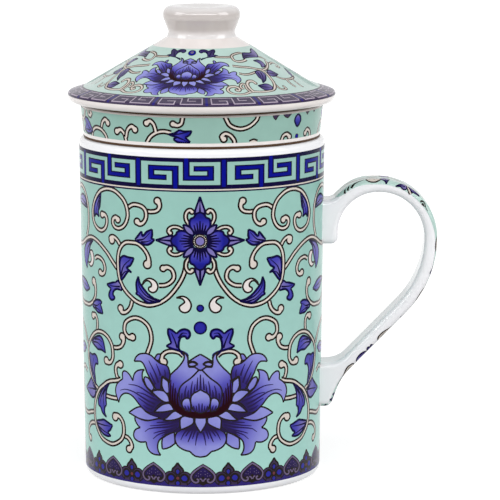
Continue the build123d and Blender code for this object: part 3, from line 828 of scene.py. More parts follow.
# The mint ground of the wall darkens towards the rim: painted shade for the light that falls off higher up
# the wall
GROUND_PAINTED_SHADE_FADE = ((0, 0), (0, 103), 0, 1)
PANEL_LOW = 10.3
PANEL_HIGH = 92.95
PANEL_HALF = pi * WALL_RADIUS / 2
COMMA_CONTOUR = 0.28
FLOWER_CENTRE = (0, 78.1)

# Beads between the flower and the lotus: height and radius. Their rings: depth and shade
PANEL_BEADS = [(57.7, 1.2), (51.7, 2.05)]
PANEL_BEAD_RINGS = [(0.42, 0.2), (0.75, 0.32)]


def draw_panel():
    """Half of one of the two panels: four-petalled flower, scroll and lotus."""
    low = (0, PANEL_LOW)
    high = (PANEL_HALF, PANEL_HIGH)
    sheet = Sheet("mint", divided(box(low, high)), GROUND_PAINTED_SHADE_FADE)
    for points, start_ball, end_ball in BRANCHES + STEMS + LOW_BRANCHES + LOW_STEMS:
        sheet.vine(points, start_ball, end_ball)
    for comma in COMMAS:
        sheet.petal("ivory", comma, None, COMMA_CONTOUR)
    for leaf in LEAVES + LOW_LEAVES + [SPROUT, CROWN_SPROUT]:
        draw_leaf(sheet, leaf)
    for height, radius in PANEL_BEADS:
        sheet.dot("navy", (0, height), radius)
        for depth, shade in PANEL_BEAD_RINGS:
            sheet.dot("bloom", (0, height), radius - depth, even(shade))
    draw_flower(sheet, FLOWER_CENTRE)
    draw_lotus(sheet)
    return cut(sheet, net_over(low, high))


# The key band under the rim

KEY_REPEATS = 9
KEY_PERIOD = 2 * pi * WALL_RADIUS / KEY_REPEATS
KEY_START = -19.0

# Uprights of the fret: place, low end and high end. Levels: height, left end and right end
KEY_UPRIGHTS = [(-7.25, 94.4, 100.05), (-14.7, 97.25, 100.05), (-4.0, 97.2, 102.7), (3.15, 97.2, 100.0)]
KEY_LEVELS = [(100.05, -14.7, -7.25), (97.25, -14.7, -10.9), (97.2, -4.0, 3.15), (100.0, -0.8, 3.15)]

# Ink of the fret's bars, half of their height and half of their width
KEY_BARS = [("navy", 0.85, 1.05), ("royal", 0.43, 0.57)]

# Heights in the band: its top, the mint field, the dividers and the pale line
KEY_TOP = 103.2
KEY_FIELD = (95.1, 101.95)
KEY_DIVIDER = (94.5, 102.6)
KEY_LINE = (93.4, 93.8)


def draw_key_band():
    """One repeat of the key fret under the rim, with its border lines."""
    end = KEY_START + KEY_PERIOD
    low = (KEY_START, PANEL_HIGH)
    high = (end, KEY_TOP)
    sheet = Sheet("navy", divided(box(low, high)))
    sheet.bar("mint", (KEY_START, KEY_FIELD[0]), (end, KEY_FIELD[1]), GROUND_PAINTED_SHADE_FADE)
    for ink, half, wide in KEY_BARS:
        for x, y_low, y_high in KEY_UPRIGHTS:
            sheet.bar(ink, (x - wide, y_low - half), (x + wide, y_high + half))
        for y, x_low, x_high in KEY_LEVELS:
            sheet.bar(ink, (x_low - wide, y - half), (x_high + wide, y + half))
        for middle in (KEY_START, end):
            sheet.bar(ink, (middle - wide, KEY_DIVIDER[0]), (middle + wide, KEY_DIVIDER[1]))
    sheet.bar("cream", (KEY_START, KEY_LINE[0]), (end, KEY_LINE[1]))
    return cut(sheet, net_over(low, high))


# The border above the foot

BORDER_REPEATS = 15
BORDER_HALF = pi * WALL_RADIUS / BORDER_REPEATS
BORDER_START = 0.7
BORDER_LOW = 2.4

# Tops of the violet band and of the line along its foot, and their shade
BORDER_BAND_TOP = 5
BORDER_LINE_TOP = 2.95
BORDER_VIOLET = even(0.16)

# The small flower, from its own middle line
BORDER_UPPER = [(0, 9.9, 0), (-0.7, 8.9), (-1.5, 8.1), (-1.8, 7), (-1, 5.8), (0, 5.2, 0), (2, 7.5)]
BORDER_DISCS = [((-2.3, 5.1), 1.85), ((-1.5, 3.2), 1.3)]
BORDER_DISC_EDGE = 0.35
BORDER_SIDE = [(-0.7, 5.1, 0), (-1.3, 6), (-2.2, 6.3), (-3.1, 5.7), (-3.3, 4.8), (-2.6, 4), (-1.5, 4.1)]
BORDER_SIDE_CONTOUR = 0.34
BORDER_INNER_ABOVE = [(0, 8.1, 0), (-0.7, 7.5), (-0.6, 6.7), (0, 6.1, 0), (1, 7)]
BORDER_INNER_BELOW = [(0, 4.4, 0), (-0.7, 3.9), (-0.7, 3.1), (0, 2.7, 0), (1, 3.5)]
BORDER_INNER_CONTOUR = 0.22
BORDER_BLUE = even(0.36)
BORDER_HEART = (0, 5.1)
BORDER_HEART_RINGS = [("line", 0.85), ("russet", 0.5)]

# The cloud head: outline, line inside it, pale middle with its dots, and the stroke below
CLOUD_HEAD = [
    (0, 9.75, 0), (1.5, 8.85), (3, 7.75), (4, 6.4), (4.05, 5), (3.3, 3.8), (2.2, 3.3), (1.1, 3.4),
    (0, 2.8, 0),
]
CLOUD_LINE = [
    (0, 9.15), (1.4, 8.3), (2.7, 7.25), (3.55, 6.15), (3.6, 5.1), (3, 4.2), (2.2, 3.85), (1.5, 4.15),
    (1.45, 4.75), (1.95, 4.95),
]
CLOUD_LINE_HALF = 0.24
CLOUD_MIDDLE = [
    (0, 8.45, 0), (1.3, 7.6), (2.4, 6.65), (2.95, 5.8), (2.7, 5.1), (1.9, 5.5), (0.9, 5.2), (0, 5.9, 0),
]
CLOUD_FADE = ((0, 5), (0, 8.4), 0.0, 0.06)
CLOUD_DOTS = [(0.6, 7.4), (1.4, 6.7), (0.7, 6.4), (2.1, 6), (1.4, 5.9)]
CLOUD_DOT = 0.14
CLOUD_STROKE = [(0.1, 4.2), (0.5, 4.9), (1, 5.05)]
CLOUD_STROKE_HALF = 0.2


def border_strip(top):
    """A strip along the foot of the border, with its corners as tips."""
    return [corner + (0,) for corner in box((0, BORDER_LOW), (BORDER_HALF, top))]


def draw_border():
    """Half of one repeat of the border above the foot: a cloud head and half of a small flower."""
    low = (0, BORDER_LOW)
    high = (BORDER_HALF, PANEL_LOW)
    sheet = Sheet("mint", divided(box(low, high)), GROUND_PAINTED_SHADE_FADE)
    sheet.fill("petal", border_strip(BORDER_BAND_TOP), BORDER_VIOLET)
    sheet.move = shifted(BORDER_HALF)
    sheet.petal("plum", BORDER_UPPER)
    sheet.petal("bloom", BORDER_INNER_ABOVE, BORDER_BLUE, BORDER_INNER_CONTOUR)
    for centre, radius in BORDER_DISCS:
        sheet.dot("line", centre, radius + BORDER_DISC_EDGE)
        sheet.dot("plum", centre, radius)
    sheet.petal("bloom", BORDER_SIDE, BORDER_BLUE, BORDER_SIDE_CONTOUR)
    sheet.petal("bloom", BORDER_INNER_BELOW, BORDER_BLUE, BORDER_INNER_CONTOUR)
    for ink, radius in BORDER_HEART_RINGS:
        sheet.dot(ink, BORDER_HEART, radius)
    sheet.move = in_place
    sheet.fill("line", CLOUD_HEAD)
    sheet.line("dusk", CLOUD_LINE, CLOUD_LINE_HALF)
    sheet.fill("petal", CLOUD_MIDDLE, CLOUD_FADE)
    for spot in CLOUD_DOTS:
        sheet.dot("dusk", spot, CLOUD_DOT)
    sheet.line("dusk", CLOUD_STROKE, CLOUD_STROKE_HALF)
    sheet.fill("petal", border_strip(BORDER_LINE_TOP), BORDER_VIOLET)
    return cut(sheet, net_over(low, high))


# The collar

COLLAR_LOW = 107.4
COLLAR_HIGH = 115.15
COLLAR_HALF = pi * COLLAR_RADIUS / 2
COLLAR_VINES = [
    ([(7.5, 115.4), (9, 112.8), (12, 111.6), (15, 112.2), (17.3, 114), (17.9, 115.4)], 0, 0),
    ([(7.2, 108.7), (6.6, 109.4), (7.6, 110.3), (9.2, 109.7), (10.4, 108.2), (10.6, 107)], 0.7, 0),
    ([(15.4, 107.3), (16.6, 107.7), (17.8, 107.3)], 0, 0),
    ([(26.8, 107.2), (27.5, 108.6), (29, 109), (30.2, 108.1)], 0, 0.6),
    ([(41.6, 107.2), (40.8, 108.9), (39.2, 109.5), (38.2, 108.5)], 0, 0.6),
    ([(-43.6, 115.4), (-43, 113.9), (-41.6, 113.6), (-41, 114.4)], 0, 0.6),
    ([(48.6, 107.2), (50, 109.6), (52.4, 110.8), (55, 110.4), (58.2, 109)], 0, 0),
    ([(-8.6, 110.5), (-11, 110.9), (-13.4, 110.4), (-15.4, 109), (-16.6, 107.2)], 0, 0),
    ([(-16.4, 113.2), (-15.2, 113.9), (-14, 112.8), (-13.4, 110.6)], 0.7, 0),
    ([(-8, 113.2), (-6.6, 112.8), (-5.5, 113.4), (-5, 115.4)], 0.65, 0),
    ([(-27.6, 110), (-26, 110.6), (-24.6, 109.4), (-24, 107.2)], 0.75, 0),
    ([(-20.5, 111), (-21.6, 111.9), (-23.2, 110.8), (-24, 108.4)], 0.75, 0),
    ([(-31.5, 112.2), (-32.6, 113.2), (-34.2, 112.2), (-35.2, 109.8)], 0.75, 0),
    ([(-32.4, 107.2), (-33.2, 108.6), (-35.4, 110), (-38.4, 110.2), (-40.6, 109), (-41.4, 107.2)], 0, 0),
    ([(-46, 115.4), (-47.4, 113), (-50, 111.8), (-53, 112), (-58.2, 109)], 0, 0),
    ([(-50, 111.8), (-51, 110), (-50, 108.8)], 0, 0.7),
]

COLLAR_LEAVES = [
    ([(-9.4, 110.1, 0), (-7.6, 110.5), (-6.1, 111.5, 0), (-4.8, 111.1), (-2.4, 111.2, 0), (-3.1, 109.9),
      (-4.4, 109.2, 0), (-3.7, 108.6), (-2.9, 107.8, 0), (-4.8, 107.5), (-6.9, 107.8), (-8, 108.6, 0),
      (-7.2, 109.2), (-8.4, 109.6)],
     (-9.2, 110), (-3.6, 110),
     [[(-8.6, 110), (-6.4, 110.2), (-3.4, 110.9)], [(-7.2, 109.4), (-5.6, 108.8), (-3.8, 108)]]),
    ([(33.6, 114.8, 0), (32.4, 114), (32.1, 112.6), (33.6, 111), (35.1, 112.6), (34.8, 114)],
     (33.6, 114.4), (33.6, 112), []),
    ([(-40.6, 108.8, 0), (-42.4, 111.2), (-44.4, 112.6), (-47.4, 112.6, 0), (-46.8, 110.6),
      (-48.4, 108.6, 0), (-45.4, 107.8), (-42.6, 108)],
     (-41.2, 108.8), (-47, 111),
     [[(-41.6, 108.8), (-44, 110), (-46.8, 112)], [(-43, 108.8), (-45, 109), (-47.6, 108.8)]]),
    ([(51.8, 113.6, 0), (53.8, 114.8), (56, 114.2), (57.2, 112.8, 0), (55.2, 112), (53, 112.4)],
     (57, 113), (52, 113.6), []),
]

# Ends of leaves that are cut off by the collar's upper edge
COLLAR_TIPS = [
    [(23, 115.3, 0), (23.4, 114.3), (24.2, 113.7, 0), (24.8, 114.6), (25.6, 115.3, 0)],
    [(27, 115.3, 0), (27.8, 114.4), (29, 114, 0), (29.8, 114.6), (30.6, 115.3, 0)],
    [(37.6, 115.3, 0), (38.6, 114.2, 0), (40, 115.3, 0)],
    [(42.4, 115.3, 0), (43.3, 114.5, 0), (44.2, 115.3, 0)],
]

COLLAR_TIP_CONTOUR = 0.16
COLLAR_BEAD = (33.6, 108)
COLLAR_BEAD_RINGS = [("line", 0.85), ("royal", 0.6)]


def draw_collar():
    """Half of the way round the collar, where a scroll is cut off above and below."""
    low = (-COLLAR_HALF, COLLAR_LOW)
    high = (COLLAR_HALF, COLLAR_HIGH)
    # Its mint ground is darker than the wall's: painted shade under the lid's brim
    sheet = Sheet("painted_shade_mint", divided(box(low, high)))
    for points, start_ball, end_ball in COLLAR_VINES:
        sheet.vine(points, start_ball, end_ball)
    for leaf in COLLAR_LEAVES:
        draw_leaf(sheet, leaf, COLLAR_LEAF_SHADES)
    for tip in COLLAR_TIPS:
        sheet.petal("plum", tip, None, COLLAR_TIP_CONTOUR)
    for ink, radius in COLLAR_BEAD_RINGS:
        sheet.dot(ink, COLLAR_BEAD, radius)
    return cut(sheet, net_over(low, high))


# Painted shadow in the joints under the collar and under the lid: a dark band between two distances up from
# the foot, in rows of triangles
COLLAR_JOINT_SHADOW = (0.3, 1.05)
LID_JOINT_SHADOW = (0.05, 0.5)
JOINT_SHADOW_ROWS = 8


def draw_joint_shadow_ring(low_reach, high_reach):
    """Half of the way round the painted shadow in a joint, between two distances up from its foot."""
    low = (-COLLAR_HALF, low_reach)
    high = (COLLAR_HALF, high_reach)
    sheet = Sheet("clay", divided(box(low, high)))
    for row in range(1, JOINT_SHADOW_ROWS):
        sheet.bar("clay", low, (high[0], low_reach + (high_reach - low_reach) * row / JOINT_SHADOW_ROWS))
    return cut(sheet, [])


# The lid

# Where the lid's print starts, and where the band on its brim starts and ends, as distances from the axis
# that run on round the edge. The print is turned by this many degrees
LID_INNER = 15.0
LID_OUTER = 36.6
LID_EDGE_PRINT = 41.95
LID_TURN = -9.0

# Motifs of the cup's panel on the lid: this height lies at this radius, and heights shrink to this share
LID_PANEL_FOOT = 12
LID_PANEL_RADIUS = 35
LID_PANEL_SHARE = 0.5

# Scale of the lotus on the lid, how far its rows follow a circle, and how far the sprout is stretched
LID_LOTUS_SCALE = 0.556
LID_LOTUS_BEND = 0.35
LID_SPROUT_STRETCH = 1.6

# Weight of the lid's scroll and of its lotus, and the width of the stems' edges
LID_WEIGHT = 0.7
LID_LOTUS_WEIGHT = 0.62
LID_VINE_EDGE = 0.5

# Rings of the bead above the lid's lotus: ink, height and radius
LID_BEAD = [("navy", 48.4, 2.0), ("royal", 48.4, 1.6), ("dusk", 48.8, 0.9)]

# The scroll on the lid, right of the lotus, as millimetres from the lid's axis with the front down. Each
# stem: its points, the balls at its ends and its half width
LID_VINES = [
    ([(6.7, -17.1), (8.4, -16.7), (10.2, -15.8), (11.5, -14.8), (11.9, -13.4), (12.7, -12), (13.7, -10.7),
      (14.5, -10.4)], 0, 0, 0.2),
    ([(11.7, -14.4), (12.1, -15.2), (12.8, -15.8), (13.7, -15.7), (14.6, -15), (15.5, -13.7),
      (15.9, -12.6)], 0, 0, 0.3),
    ([(18.6, -6.4), (19.6, -5.2), (20.9, -5)], 0, 0, 0.2),
    ([(22.2, -6.8), (22.3, -4.8), (23.1, -3.2), (24.4, -3.4), (24.6, -4.8), (23.8, -5.4)], 0, 0, 0.2),
    ([(25, -12.9), (26.5, -12.4), (27.7, -11.1), (28.9, -8.5), (29.3, -5.6), (28.8, -3.4)], 0, 0, 0.2),
    ([(28, -10.8), (29.2, -11.8), (30.3, -12.2), (31.2, -12.2)], 0, 0, 0.3),
    ([(29.2, -7.4), (30.2, -8), (31.2, -8.5), (32.5, -8.9)], 0, 0.4, 0.2),
    ([(25.8, -18.2), (26.6, -18.7), (27.6, -19), (28.6, -18.3), (28.9, -17), (28.2, -16.6)], 0, 0.4, 0.22),
    ([(15.1, -21), (16.7, -20.5), (18.1, -19.2), (19.3, -17.2), (20.2, -15.4)], 0, 0, 0.2),
    ([(12.7, -18.7), (14, -18.2), (15.6, -17.3), (17, -16.3), (18.3, -15.5), (19.8, -14.6), (21.1, -13.5),
      (21.8, -12.1), (22, -9.9), (21.6, -7.4), (20.8, -5.9)], 0, 0, 0.26),
    ([(20.6, -14), (22, -14.1), (23.2, -15.2), (24.4, -16.4), (25.3, -17.8), (25.8, -19.5), (25.7, -21.4),
      (25, -22.9), (23.9, -24.4), (22.3, -25.8), (20.7, -26.7), (19.6, -27.7), (18.3, -29.7), (16.3, -30.9),
      (14.3, -30.8), (13.1, -29.8), (13.4, -28.5), (14.7, -27.6), (15.8, -27.5), (16.5, -28.1),
      (16.2, -28.9), (15.6, -28.8)], 0, 0.4, 0.36),
    ([(19.6, -27.5), (18.2, -26.4), (17.7, -25.2), (16.8, -25.2), (16.4, -26.4), (16.9, -27.2),
      (17.5, -26.8)], 0, 0, 0.26),
    ([(20.4, -26.8), (19.2, -26), (18.2, -24.6), (18.3, -23), (19.4, -22.1), (20.3, -22.4)], 0, 0.5, 0.42),
]

LID_LEAVES = [
    ([(14.3, -9.8, 0), (15.9, -7.8), (16.4, -6.3), (16, -5, 0), (15.9, -2.7, 0), (17, -3.3), (17.9, -4.5),
      (18.7, -6.7, 0), (17.5, -8.9), (16.2, -10.9), (15.1, -12.8, 0), (14.6, -11.3)],
     (14.6, -11.2), (18.2, -6), [[(15, -11.4), (16.4, -9), (17.8, -6.6)]]),
    ([(17.9, -11.1, 0), (18.8, -9.1), (19.8, -8.3), (20.8, -8.9), (21.4, -10.5), (20.7, -12.3, 0),
      (20.1, -10.9), (19.1, -10.7)],
     (18.2, -10.8), (21, -10), []),
    ([(19.3, -16.9, 0), (19.9, -15.5), (21, -14.9), (22.2, -15.4), (22.7, -17), (22.8, -18.6),
      (22.3, -20.6, 0), (21.8, -19.3), (20.8, -18.8, 0), (20.1, -17.9)],
     (22.2, -19.8), (21.2, -15.2),
     [[(20.8, -15.6), (21.8, -17.4), (22.2, -19.6)], [(20, -16.4), (20.9, -17.4), (21.4, -18.6)]]),
    ([(22.3, -12.6, 0), (22.9, -11.1), (24, -10.8), (25.4, -10.6, 0), (25.1, -12.7), (24.2, -14.3),
      (23.3, -14.4), (22.7, -13.8)],
     (25, -11.6), (22.8, -12.4), [[(22.9, -13.4), (23.9, -12.6), (25, -11.4)]]),
    ([(21.2, -23.1, 0), (22.1, -21.8), (23, -20.5), (24.1, -19.9), (25.2, -20.3), (25.4, -21.5),
      (24.5, -22.9), (23.4, -23.7), (22.3, -23.5)],
     (21.4, -22.9), (25, -21), [[(21.8, -22.9), (23.2, -22.2), (24.8, -21)]]),
    ([(25.9, -0.9, 0), (27.4, -1.9), (28.6, -3.4), (29.4, -5.6, 0), (28.2, -4.7), (27, -3.2)],
     (26.2, -1.2), (29.2, -5.2), []),
]


def lid_radius(height):
    return LID_PANEL_RADIUS - LID_PANEL_SHARE * (height - LID_PANEL_FOOT)


def on_lid(stretch):
    """Maps the cup's panel on to the lid, seen from above: up the cup is inwards on the lid."""
    def move(point):
        angle = stretch * point[0] / WALL_RADIUS
        radius = lid_radius(point[1])
        return radius * sin(angle), -radius * cos(angle)
    return move


def flat_on_lid(scale):
    """Maps the lotus on to the lid nearly as a flat picture, its rows only a little bent round the knob."""
    def move(point):
        x = scale * point[0]
        radius = lid_radius(point[1])
        bent = max(radius**2 - x**2, 0) ** 0.5
        return x, -LID_LOTUS_BEND * bent - (1 - LID_LOTUS_BEND) * radius
    return move


def draw_lid():
    """A quarter of the lid's top: half of a lotus and its scroll."""
    steps = ceil(LID_OUTER * pi / 2 / STEP)
    turns = [pi / 2 * step / steps for step in range(steps + 1)]
    outer = [(LID_OUTER * sin(turn), -LID_OUTER * cos(turn)) for turn in turns]
    inner = [(LID_INNER * sin(turn), -LID_INNER * cos(turn)) for turn in turns[::-1]]
    # Its mint ground is paler than the wall's: painted light and sheen on the lid's upward face
    sheet = Sheet("painted_light_mint", outer + inner)
    sheet.weight = LID_WEIGHT
    for points, start_ball, end_ball, half in LID_VINES:
        sheet.vine(points, start_ball, end_ball, half, LID_VINE_EDGE, "umber")
    for leaf in LID_LEAVES:
        draw_dull_leaf(sheet, leaf, LID_LEAF_SHADES)
    sheet.weight = LID_LOTUS_WEIGHT
    sheet.move = on_lid(LID_SPROUT_STRETCH)
    draw_dull_leaf(sheet, CROWN_SPROUT, LID_SPROUT_SHADES)
    sheet.move = on_lid(1.0)
    for ink, height, radius in LID_BEAD:
        sheet.dot(ink, (0, height), radius)
    sheet.move = flat_on_lid(LID_LOTUS_SCALE)
    draw_lotus(sheet)
    return cut(sheet, net_round(LID_INNER, LID_OUTER))


# Slopes of the lid's cone and brim, and where the brim's rounded edge starts
CONE_FALL = (LID_BREAK[1] - LID_CROWN[1]) / (LID_BREAK[0] - LID_CROWN[0])
BRIM_FALL = (LID_EDGE[1] - LID_BREAK[1]) / (LID_EDGE[0] - LID_BREAK[0])
BRIM_ANGLE = atan(-BRIM_FALL)
EDGE_START = LID_EDGE[0] - LID_EDGE_ROUND * tan((pi / 2 - BRIM_ANGLE) / 2) * cos(BRIM_ANGLE)
EDGE_ROWS = 6

# The fret on the brim, turned by this many degrees. Its line is drawn at the height of the cup's fret, then
# moved and shrunk from that middle and height to those on the lid
LID_KEY_REPEATS = 16
LID_KEY_PERIOD = 2 * pi * LID_BAND_RADIUS / LID_KEY_REPEATS
LID_KEY_TURN = 3
LID_MEANDER = [
    (-12.6, 98.65), (-8.8, 98.65), (-8.8, 95.75), (-16.6, 95.75), (-16.6, 101.35), (-5.6, 101.35),
    (-5.6, 95.75), (4.9, 95.75), (4.9, 101.35), (-2.4, 101.35), (-2.4, 98.6), (1.4, 98.6),
]
KEY_MIDDLE = 98.55
KEY_HEIGHT = 5.6
LID_KEY_MIDDLE = 39.3
LID_KEY_HEIGHT = 3.7

# Half widths of the fret and of the dividers, gaps at the dividers' ends, and width of the inner line
LID_KEY_HALF = 0.17
LID_DIVIDER_HALF = 0.36
LID_DIVIDER_OUTER_GAP = 0.3
LID_DIVIDER_INNER_GAP = 0.1
LID_BAND_LINE = 0.22


def draw_lid_band():
    """One repeat of the dark key fret on the lid's brim. Down the drawing is outwards on the lid."""
    low = (0, -LID_EDGE_PRINT)
    high = (LID_KEY_PERIOD, -LID_OUTER)
    sheet = Sheet("plum", divided(box(low, high)))
    for row in range(EDGE_ROWS):
        reach = EDGE_START + (LID_EDGE_PRINT - EDGE_START) * row / EDGE_ROWS
        sheet.bar("plum", low, (high[0], -reach))
    across = LID_KEY_PERIOD / KEY_PERIOD
    up = LID_KEY_HEIGHT / KEY_HEIGHT
    line = [((x - KEY_START) * across, (y - KEY_MIDDLE) * up - LID_KEY_MIDDLE) for x, y in LID_MEANDER]
    half = LID_KEY_HALF
    for (x_a, y_a), (x_b, y_b) in zip(line, line[1:]):
        start = (min(x_a, x_b) - half, min(y_a, y_b) - half)
        end = (max(x_a, x_b) + half, max(y_a, y_b) + half)
        sheet.bar("lilac", start, end)
    for middle in (0, LID_KEY_PERIOD):
        start = (middle - LID_DIVIDER_HALF, low[1] + LID_DIVIDER_OUTER_GAP)
        end = (middle + LID_DIVIDER_HALF, high[1] - LID_DIVIDER_INNER_GAP)
        sheet.bar("divider", start, end)
    sheet.bar("line", (0, high[1] - LID_BAND_LINE), high)
    return cut(sheet, net_over(low, high))


# The handle

# Half width of the printed part, and the rows of triangles round each of its edges
HANDLE_PRINT = 6.9
HANDLE_ROWS = 6

# Half width of the handle's mint strip along its length
HANDLE_STRIP = [
    (1.2, 4.4), (2.2, 5.7), (4, 6.4), (10, 6.6), (30, 6.7), (40, 6.4), (46, 5.8), (54, 5.2), (64, 4.9),
    (92, 4.9), (98, 5.3), (104, 5.8), (112, 6.2),
]

# Motifs along both edges of the strip: distance from the handle's upper root and from the strip's middle line
HANDLE_VINES = [
    ([(25, 3.4), (25.6, 4.7), (26.5, 5.7), (27.8, 6.6)], 0, 0),
    ([(44, 4), (46, 5), (48.4, 5), (50, 3.8)], 0, 0.6),
    ([(60, 3.6), (62.6, 4.8), (65.6, 4.7), (67.4, 3.6)], 0, 0.6),
    ([(76, 3.6), (78.4, 4.9), (80.8, 5.7), (82.6, 5.5), (83, 4.4)], 0, 0.6),
    ([(94.8, 5.4), (96, 5.8), (97.4, 5.4), (99.4, 4.6), (102.2, 4.6), (104, 3.4)], 0.5, 0.6),
]

HANDLE_LEAVES = [
    ([(16.8, 4.7, 0), (17.1, 2.6), (18.1, 1), (19.3, 1.7), (19.7, 3.6), (19.3, 5), (18.8, 6.4, 0),
      (18.1, 5.3)],
     (18.4, 1.6), (18.6, 6), [[(18, 2.2), (18.5, 4), (18.7, 5.8)]]),
    ([(22, 6.5, 0), (23.2, 5.3), (24.6, 4.3), (25.4, 4.8), (25.6, 6), (24.8, 6.5), (23.6, 6.1)],
     (25.2, 5), (22.4, 6.4), [[(25, 5.4), (24, 5.5), (22.8, 6)]]),
    ([(26, 4.8, 0), (27.2, 3.6), (28.8, 3.4), (29.8, 4.2), (30.4, 5.3, 0), (28.8, 5.5), (27.4, 5.7)],
     (26.2, 4.8), (29.4, 4.6), [[(26.6, 4.7), (28, 4.6), (29.8, 5)]]),
    ([(37.6, 1.8, 0), (39, 3.2), (41, 4, 0), (42.2, 3), (43.6, 2.4, 0), (40.6, 1.2)],
     (42.8, 2), (39, 3.2), []),
    ([(52, 3.2, 0), (54, 4.6), (56.4, 5.5, 0), (57.4, 4.3), (59, 3.6, 0), (55.6, 2.6)],
     (58, 3.4), (54, 4.6), []),
    ([(69, 3.2, 0), (71, 4.4), (73.4, 5.2, 0), (74.2, 4.2), (75.6, 3.4, 0), (72.2, 2.6)],
     (74.8, 3.4), (71, 4.4), []),
    ([(93.4, 4.6, 0), (92.4, 5.9), (90.8, 6.3), (89.2, 6), (88.4, 5.2, 0), (90, 4.2), (92, 4)],
     (92, 4.2), (90, 5.8), []),
    ([(88.2, 4.4, 0), (87.9, 5.8), (87.2, 6.2, 0), (86.6, 5.5), (86, 6.1, 0), (85.4, 4.6, 0), (86.8, 3.8)],
     (86.8, 4), (87, 5.6), []),
    ([(104.4, 3.8, 0), (105.6, 5.8, 0), (106.4, 4.9), (107.6, 6.1, 0), (108.4, 3.6, 0)],
     (106, 3.6), (106.6, 5.6), []),
    ([(109.2, 3.8, 0), (110.6, 6, 0), (111.8, 3.8, 0)], (110.6, 3.6), (110.6, 5.6), []),
]

# Dark strokes on the upper part of the handle, and a pale bud with a dot
HANDLE_STROKES = [
    [(4.2, 6.3), (5.3, 5.1)],
    [(5.6, 6.2), (6.8, 4.9)],
    [(7, 6.1), (8.6, 5.2), (10.4, 4.8), (12.3, 4.6)],
    [(31.8, 6.4), (32.2, 5.6), (33.1, 5.5), (34.2, 6), (35.8, 6.2)],
    [(32.6, 6.2), (33.4, 6.3), (34, 6.1)],
]

HANDLE_BUD = [
    (12.3, 4.6, 0), (13.3, 3.2), (15, 2.7), (16.4, 3.6), (16.9, 4.8), (15.6, 5.8), (14, 5.9), (12.9, 5.4),
]
HANDLE_BUD_DOT = (15, 4.3)
HANDLE_BUD_DOT_RADIUS = 0.4

# Weight of the handle's lines and half width of its curls
HANDLE_WEIGHT = 0.8
HANDLE_VINE = 0.26

# The running stem: its start, its distance from the end, and the length, steps, swing and ball of its wave
HANDLE_STEM_START = 1.0
HANDLE_STEM_STOP = 3
HANDLE_WAVE = 15.0
HANDLE_WAVE_STEPS = 12
HANDLE_SWING = 1.7
HANDLE_STEM_BALL = 0.7


def rounded(corners, bends):
    """A close path of straight runs and round bends, as (point, outward normal) pairs. The first and last
    corners are its ends."""
    path = []

    def normal_of(direction):
        return Vector((-direction.y, direction.x))

    start = Vector(corners[0])
    for before, corner, after, radius in zip(corners, corners[1:], corners[2:], bends):
        corner = Vector(corner)
        coming = (corner - Vector(before)).normalized()
        going = (Vector(after) - corner).normalized()
        turn = coming.angle_signed(going)
        reach = radius * tan(abs(turn) / 2)
        entry = corner - coming * reach
        count = max(1, ceil((entry - start).length / STEP))
        path += [(start.lerp(entry, step / count), normal_of(coming)) for step in range(count)]
        side = 1 if coming.x * going.y - coming.y * going.x > 0 else -1
        hub = entry + normal_of(coming) * radius * side
        count = max(2, ceil(radius * abs(turn) / STEP))
        for step in range(count):
            angle = abs(turn) * step / count * side
            spun = Vector(spin(normal_of(coming), angle))
            path.append((hub - spun * radius * side, spun))
        start = corner + going * reach
    end = Vector(corners[-1])
    going = (end - start).normalized()
    count = max(1, ceil((end - start).length / STEP))
    path += [(start.lerp(end, step / count), normal_of(going)) for step in range(count + 1)]
    return path


# The handle's outside as a path, how far along it each point lies, and where the print starts and ends
HANDLE_PATH = rounded(HANDLE_LINE, HANDLE_BENDS)
HANDLE_STEPS = [(end[0] - start[0]).length for start, end in zip(HANDLE_PATH, HANDLE_PATH[1:])]
HANDLE_REACH = list(accumulate(HANDLE_STEPS, initial=0))
HANDLE_START = 0.6
HANDLE_END = HANDLE_REACH[-1]


def draw_handle():
    """The strip of print along the outside of the handle: a running stem between leaves and curls."""
    low = (HANDLE_START, -HANDLE_PRINT)
    high = (HANDLE_END, HANDLE_PRINT)
    sheet = Sheet("bare", divided(box(low, high)))
    for row in range(1, HANDLE_ROWS + 1):
        reach = HANDLE_PRINT + (HANDLE_HALF_FLAT - HANDLE_PRINT) * row / HANDLE_ROWS
        sheet.bar("bare", (HANDLE_START, -reach), (HANDLE_END, reach))
    # The strip takes the lid's paler mint, whose paleness is painted light
    sheet.plate("painted_light_mint", HANDLE_STRIP + [turned_over(point) for point in HANDLE_STRIP[::-1]])
    stem = []
    place = HANDLE_STEM_START
    while place < HANDLE_END - HANDLE_STEM_STOP:
        stem.append((place, HANDLE_SWING * sin(2 * pi * place / HANDLE_WAVE)))
        place += HANDLE_WAVE / HANDLE_WAVE_STEPS
    sheet.weight = HANDLE_WEIGHT
    sheet.vine(stem, 0, HANDLE_STEM_BALL)
    for move in (in_place, turned_over):
        sheet.move = move
        for points, start_ball, end_ball in HANDLE_VINES:
            sheet.vine(points, start_ball, end_ball, HANDLE_VINE)
        for leaf in HANDLE_LEAVES:
            draw_dull_leaf(sheet, leaf, HANDLE_LEAF_SHADES)
        for stroke in HANDLE_STROKES:
            sheet.vein(stroke, STROKE)
        sheet.petal("cream", HANDLE_BUD)
        sheet.dot("umber", HANDLE_BUD_DOT, HANDLE_BUD_DOT_RADIUS)
    return cut(sheet, net_over(low, high))


# Laying the sheets on the porcelain. Each function gives a way to place a point, in millimetres and with its
# normal, and whether the drawing is mirrored there

def on_cone(foot_radius, foot_height, lean, unrolled, turn, start=0, side=1):
    """Round a wall that leans outwards, from the radius at its foot."""
    def place(point):
        angle = (start + side * point[0]) / unrolled + turn
        radius = foot_radius + lean * (point[1] - foot_height) + FILM
        normal = (sin(angle), -cos(angle), -lean)
        return (radius * sin(angle), -radius * cos(angle), point[1]), normal

    return place, side < 0


def on_wall(start, side, turn):
    return on_cone(CUP_FOOT_RADIUS, 0, WALL_LEAN, WALL_RADIUS, turn, start, side)


def on_collar(turn):
    return on_cone(COLLAR_BASE_RADIUS, CUP_HEIGHT, COLLAR_LEAN, COLLAR_RADIUS, turn)


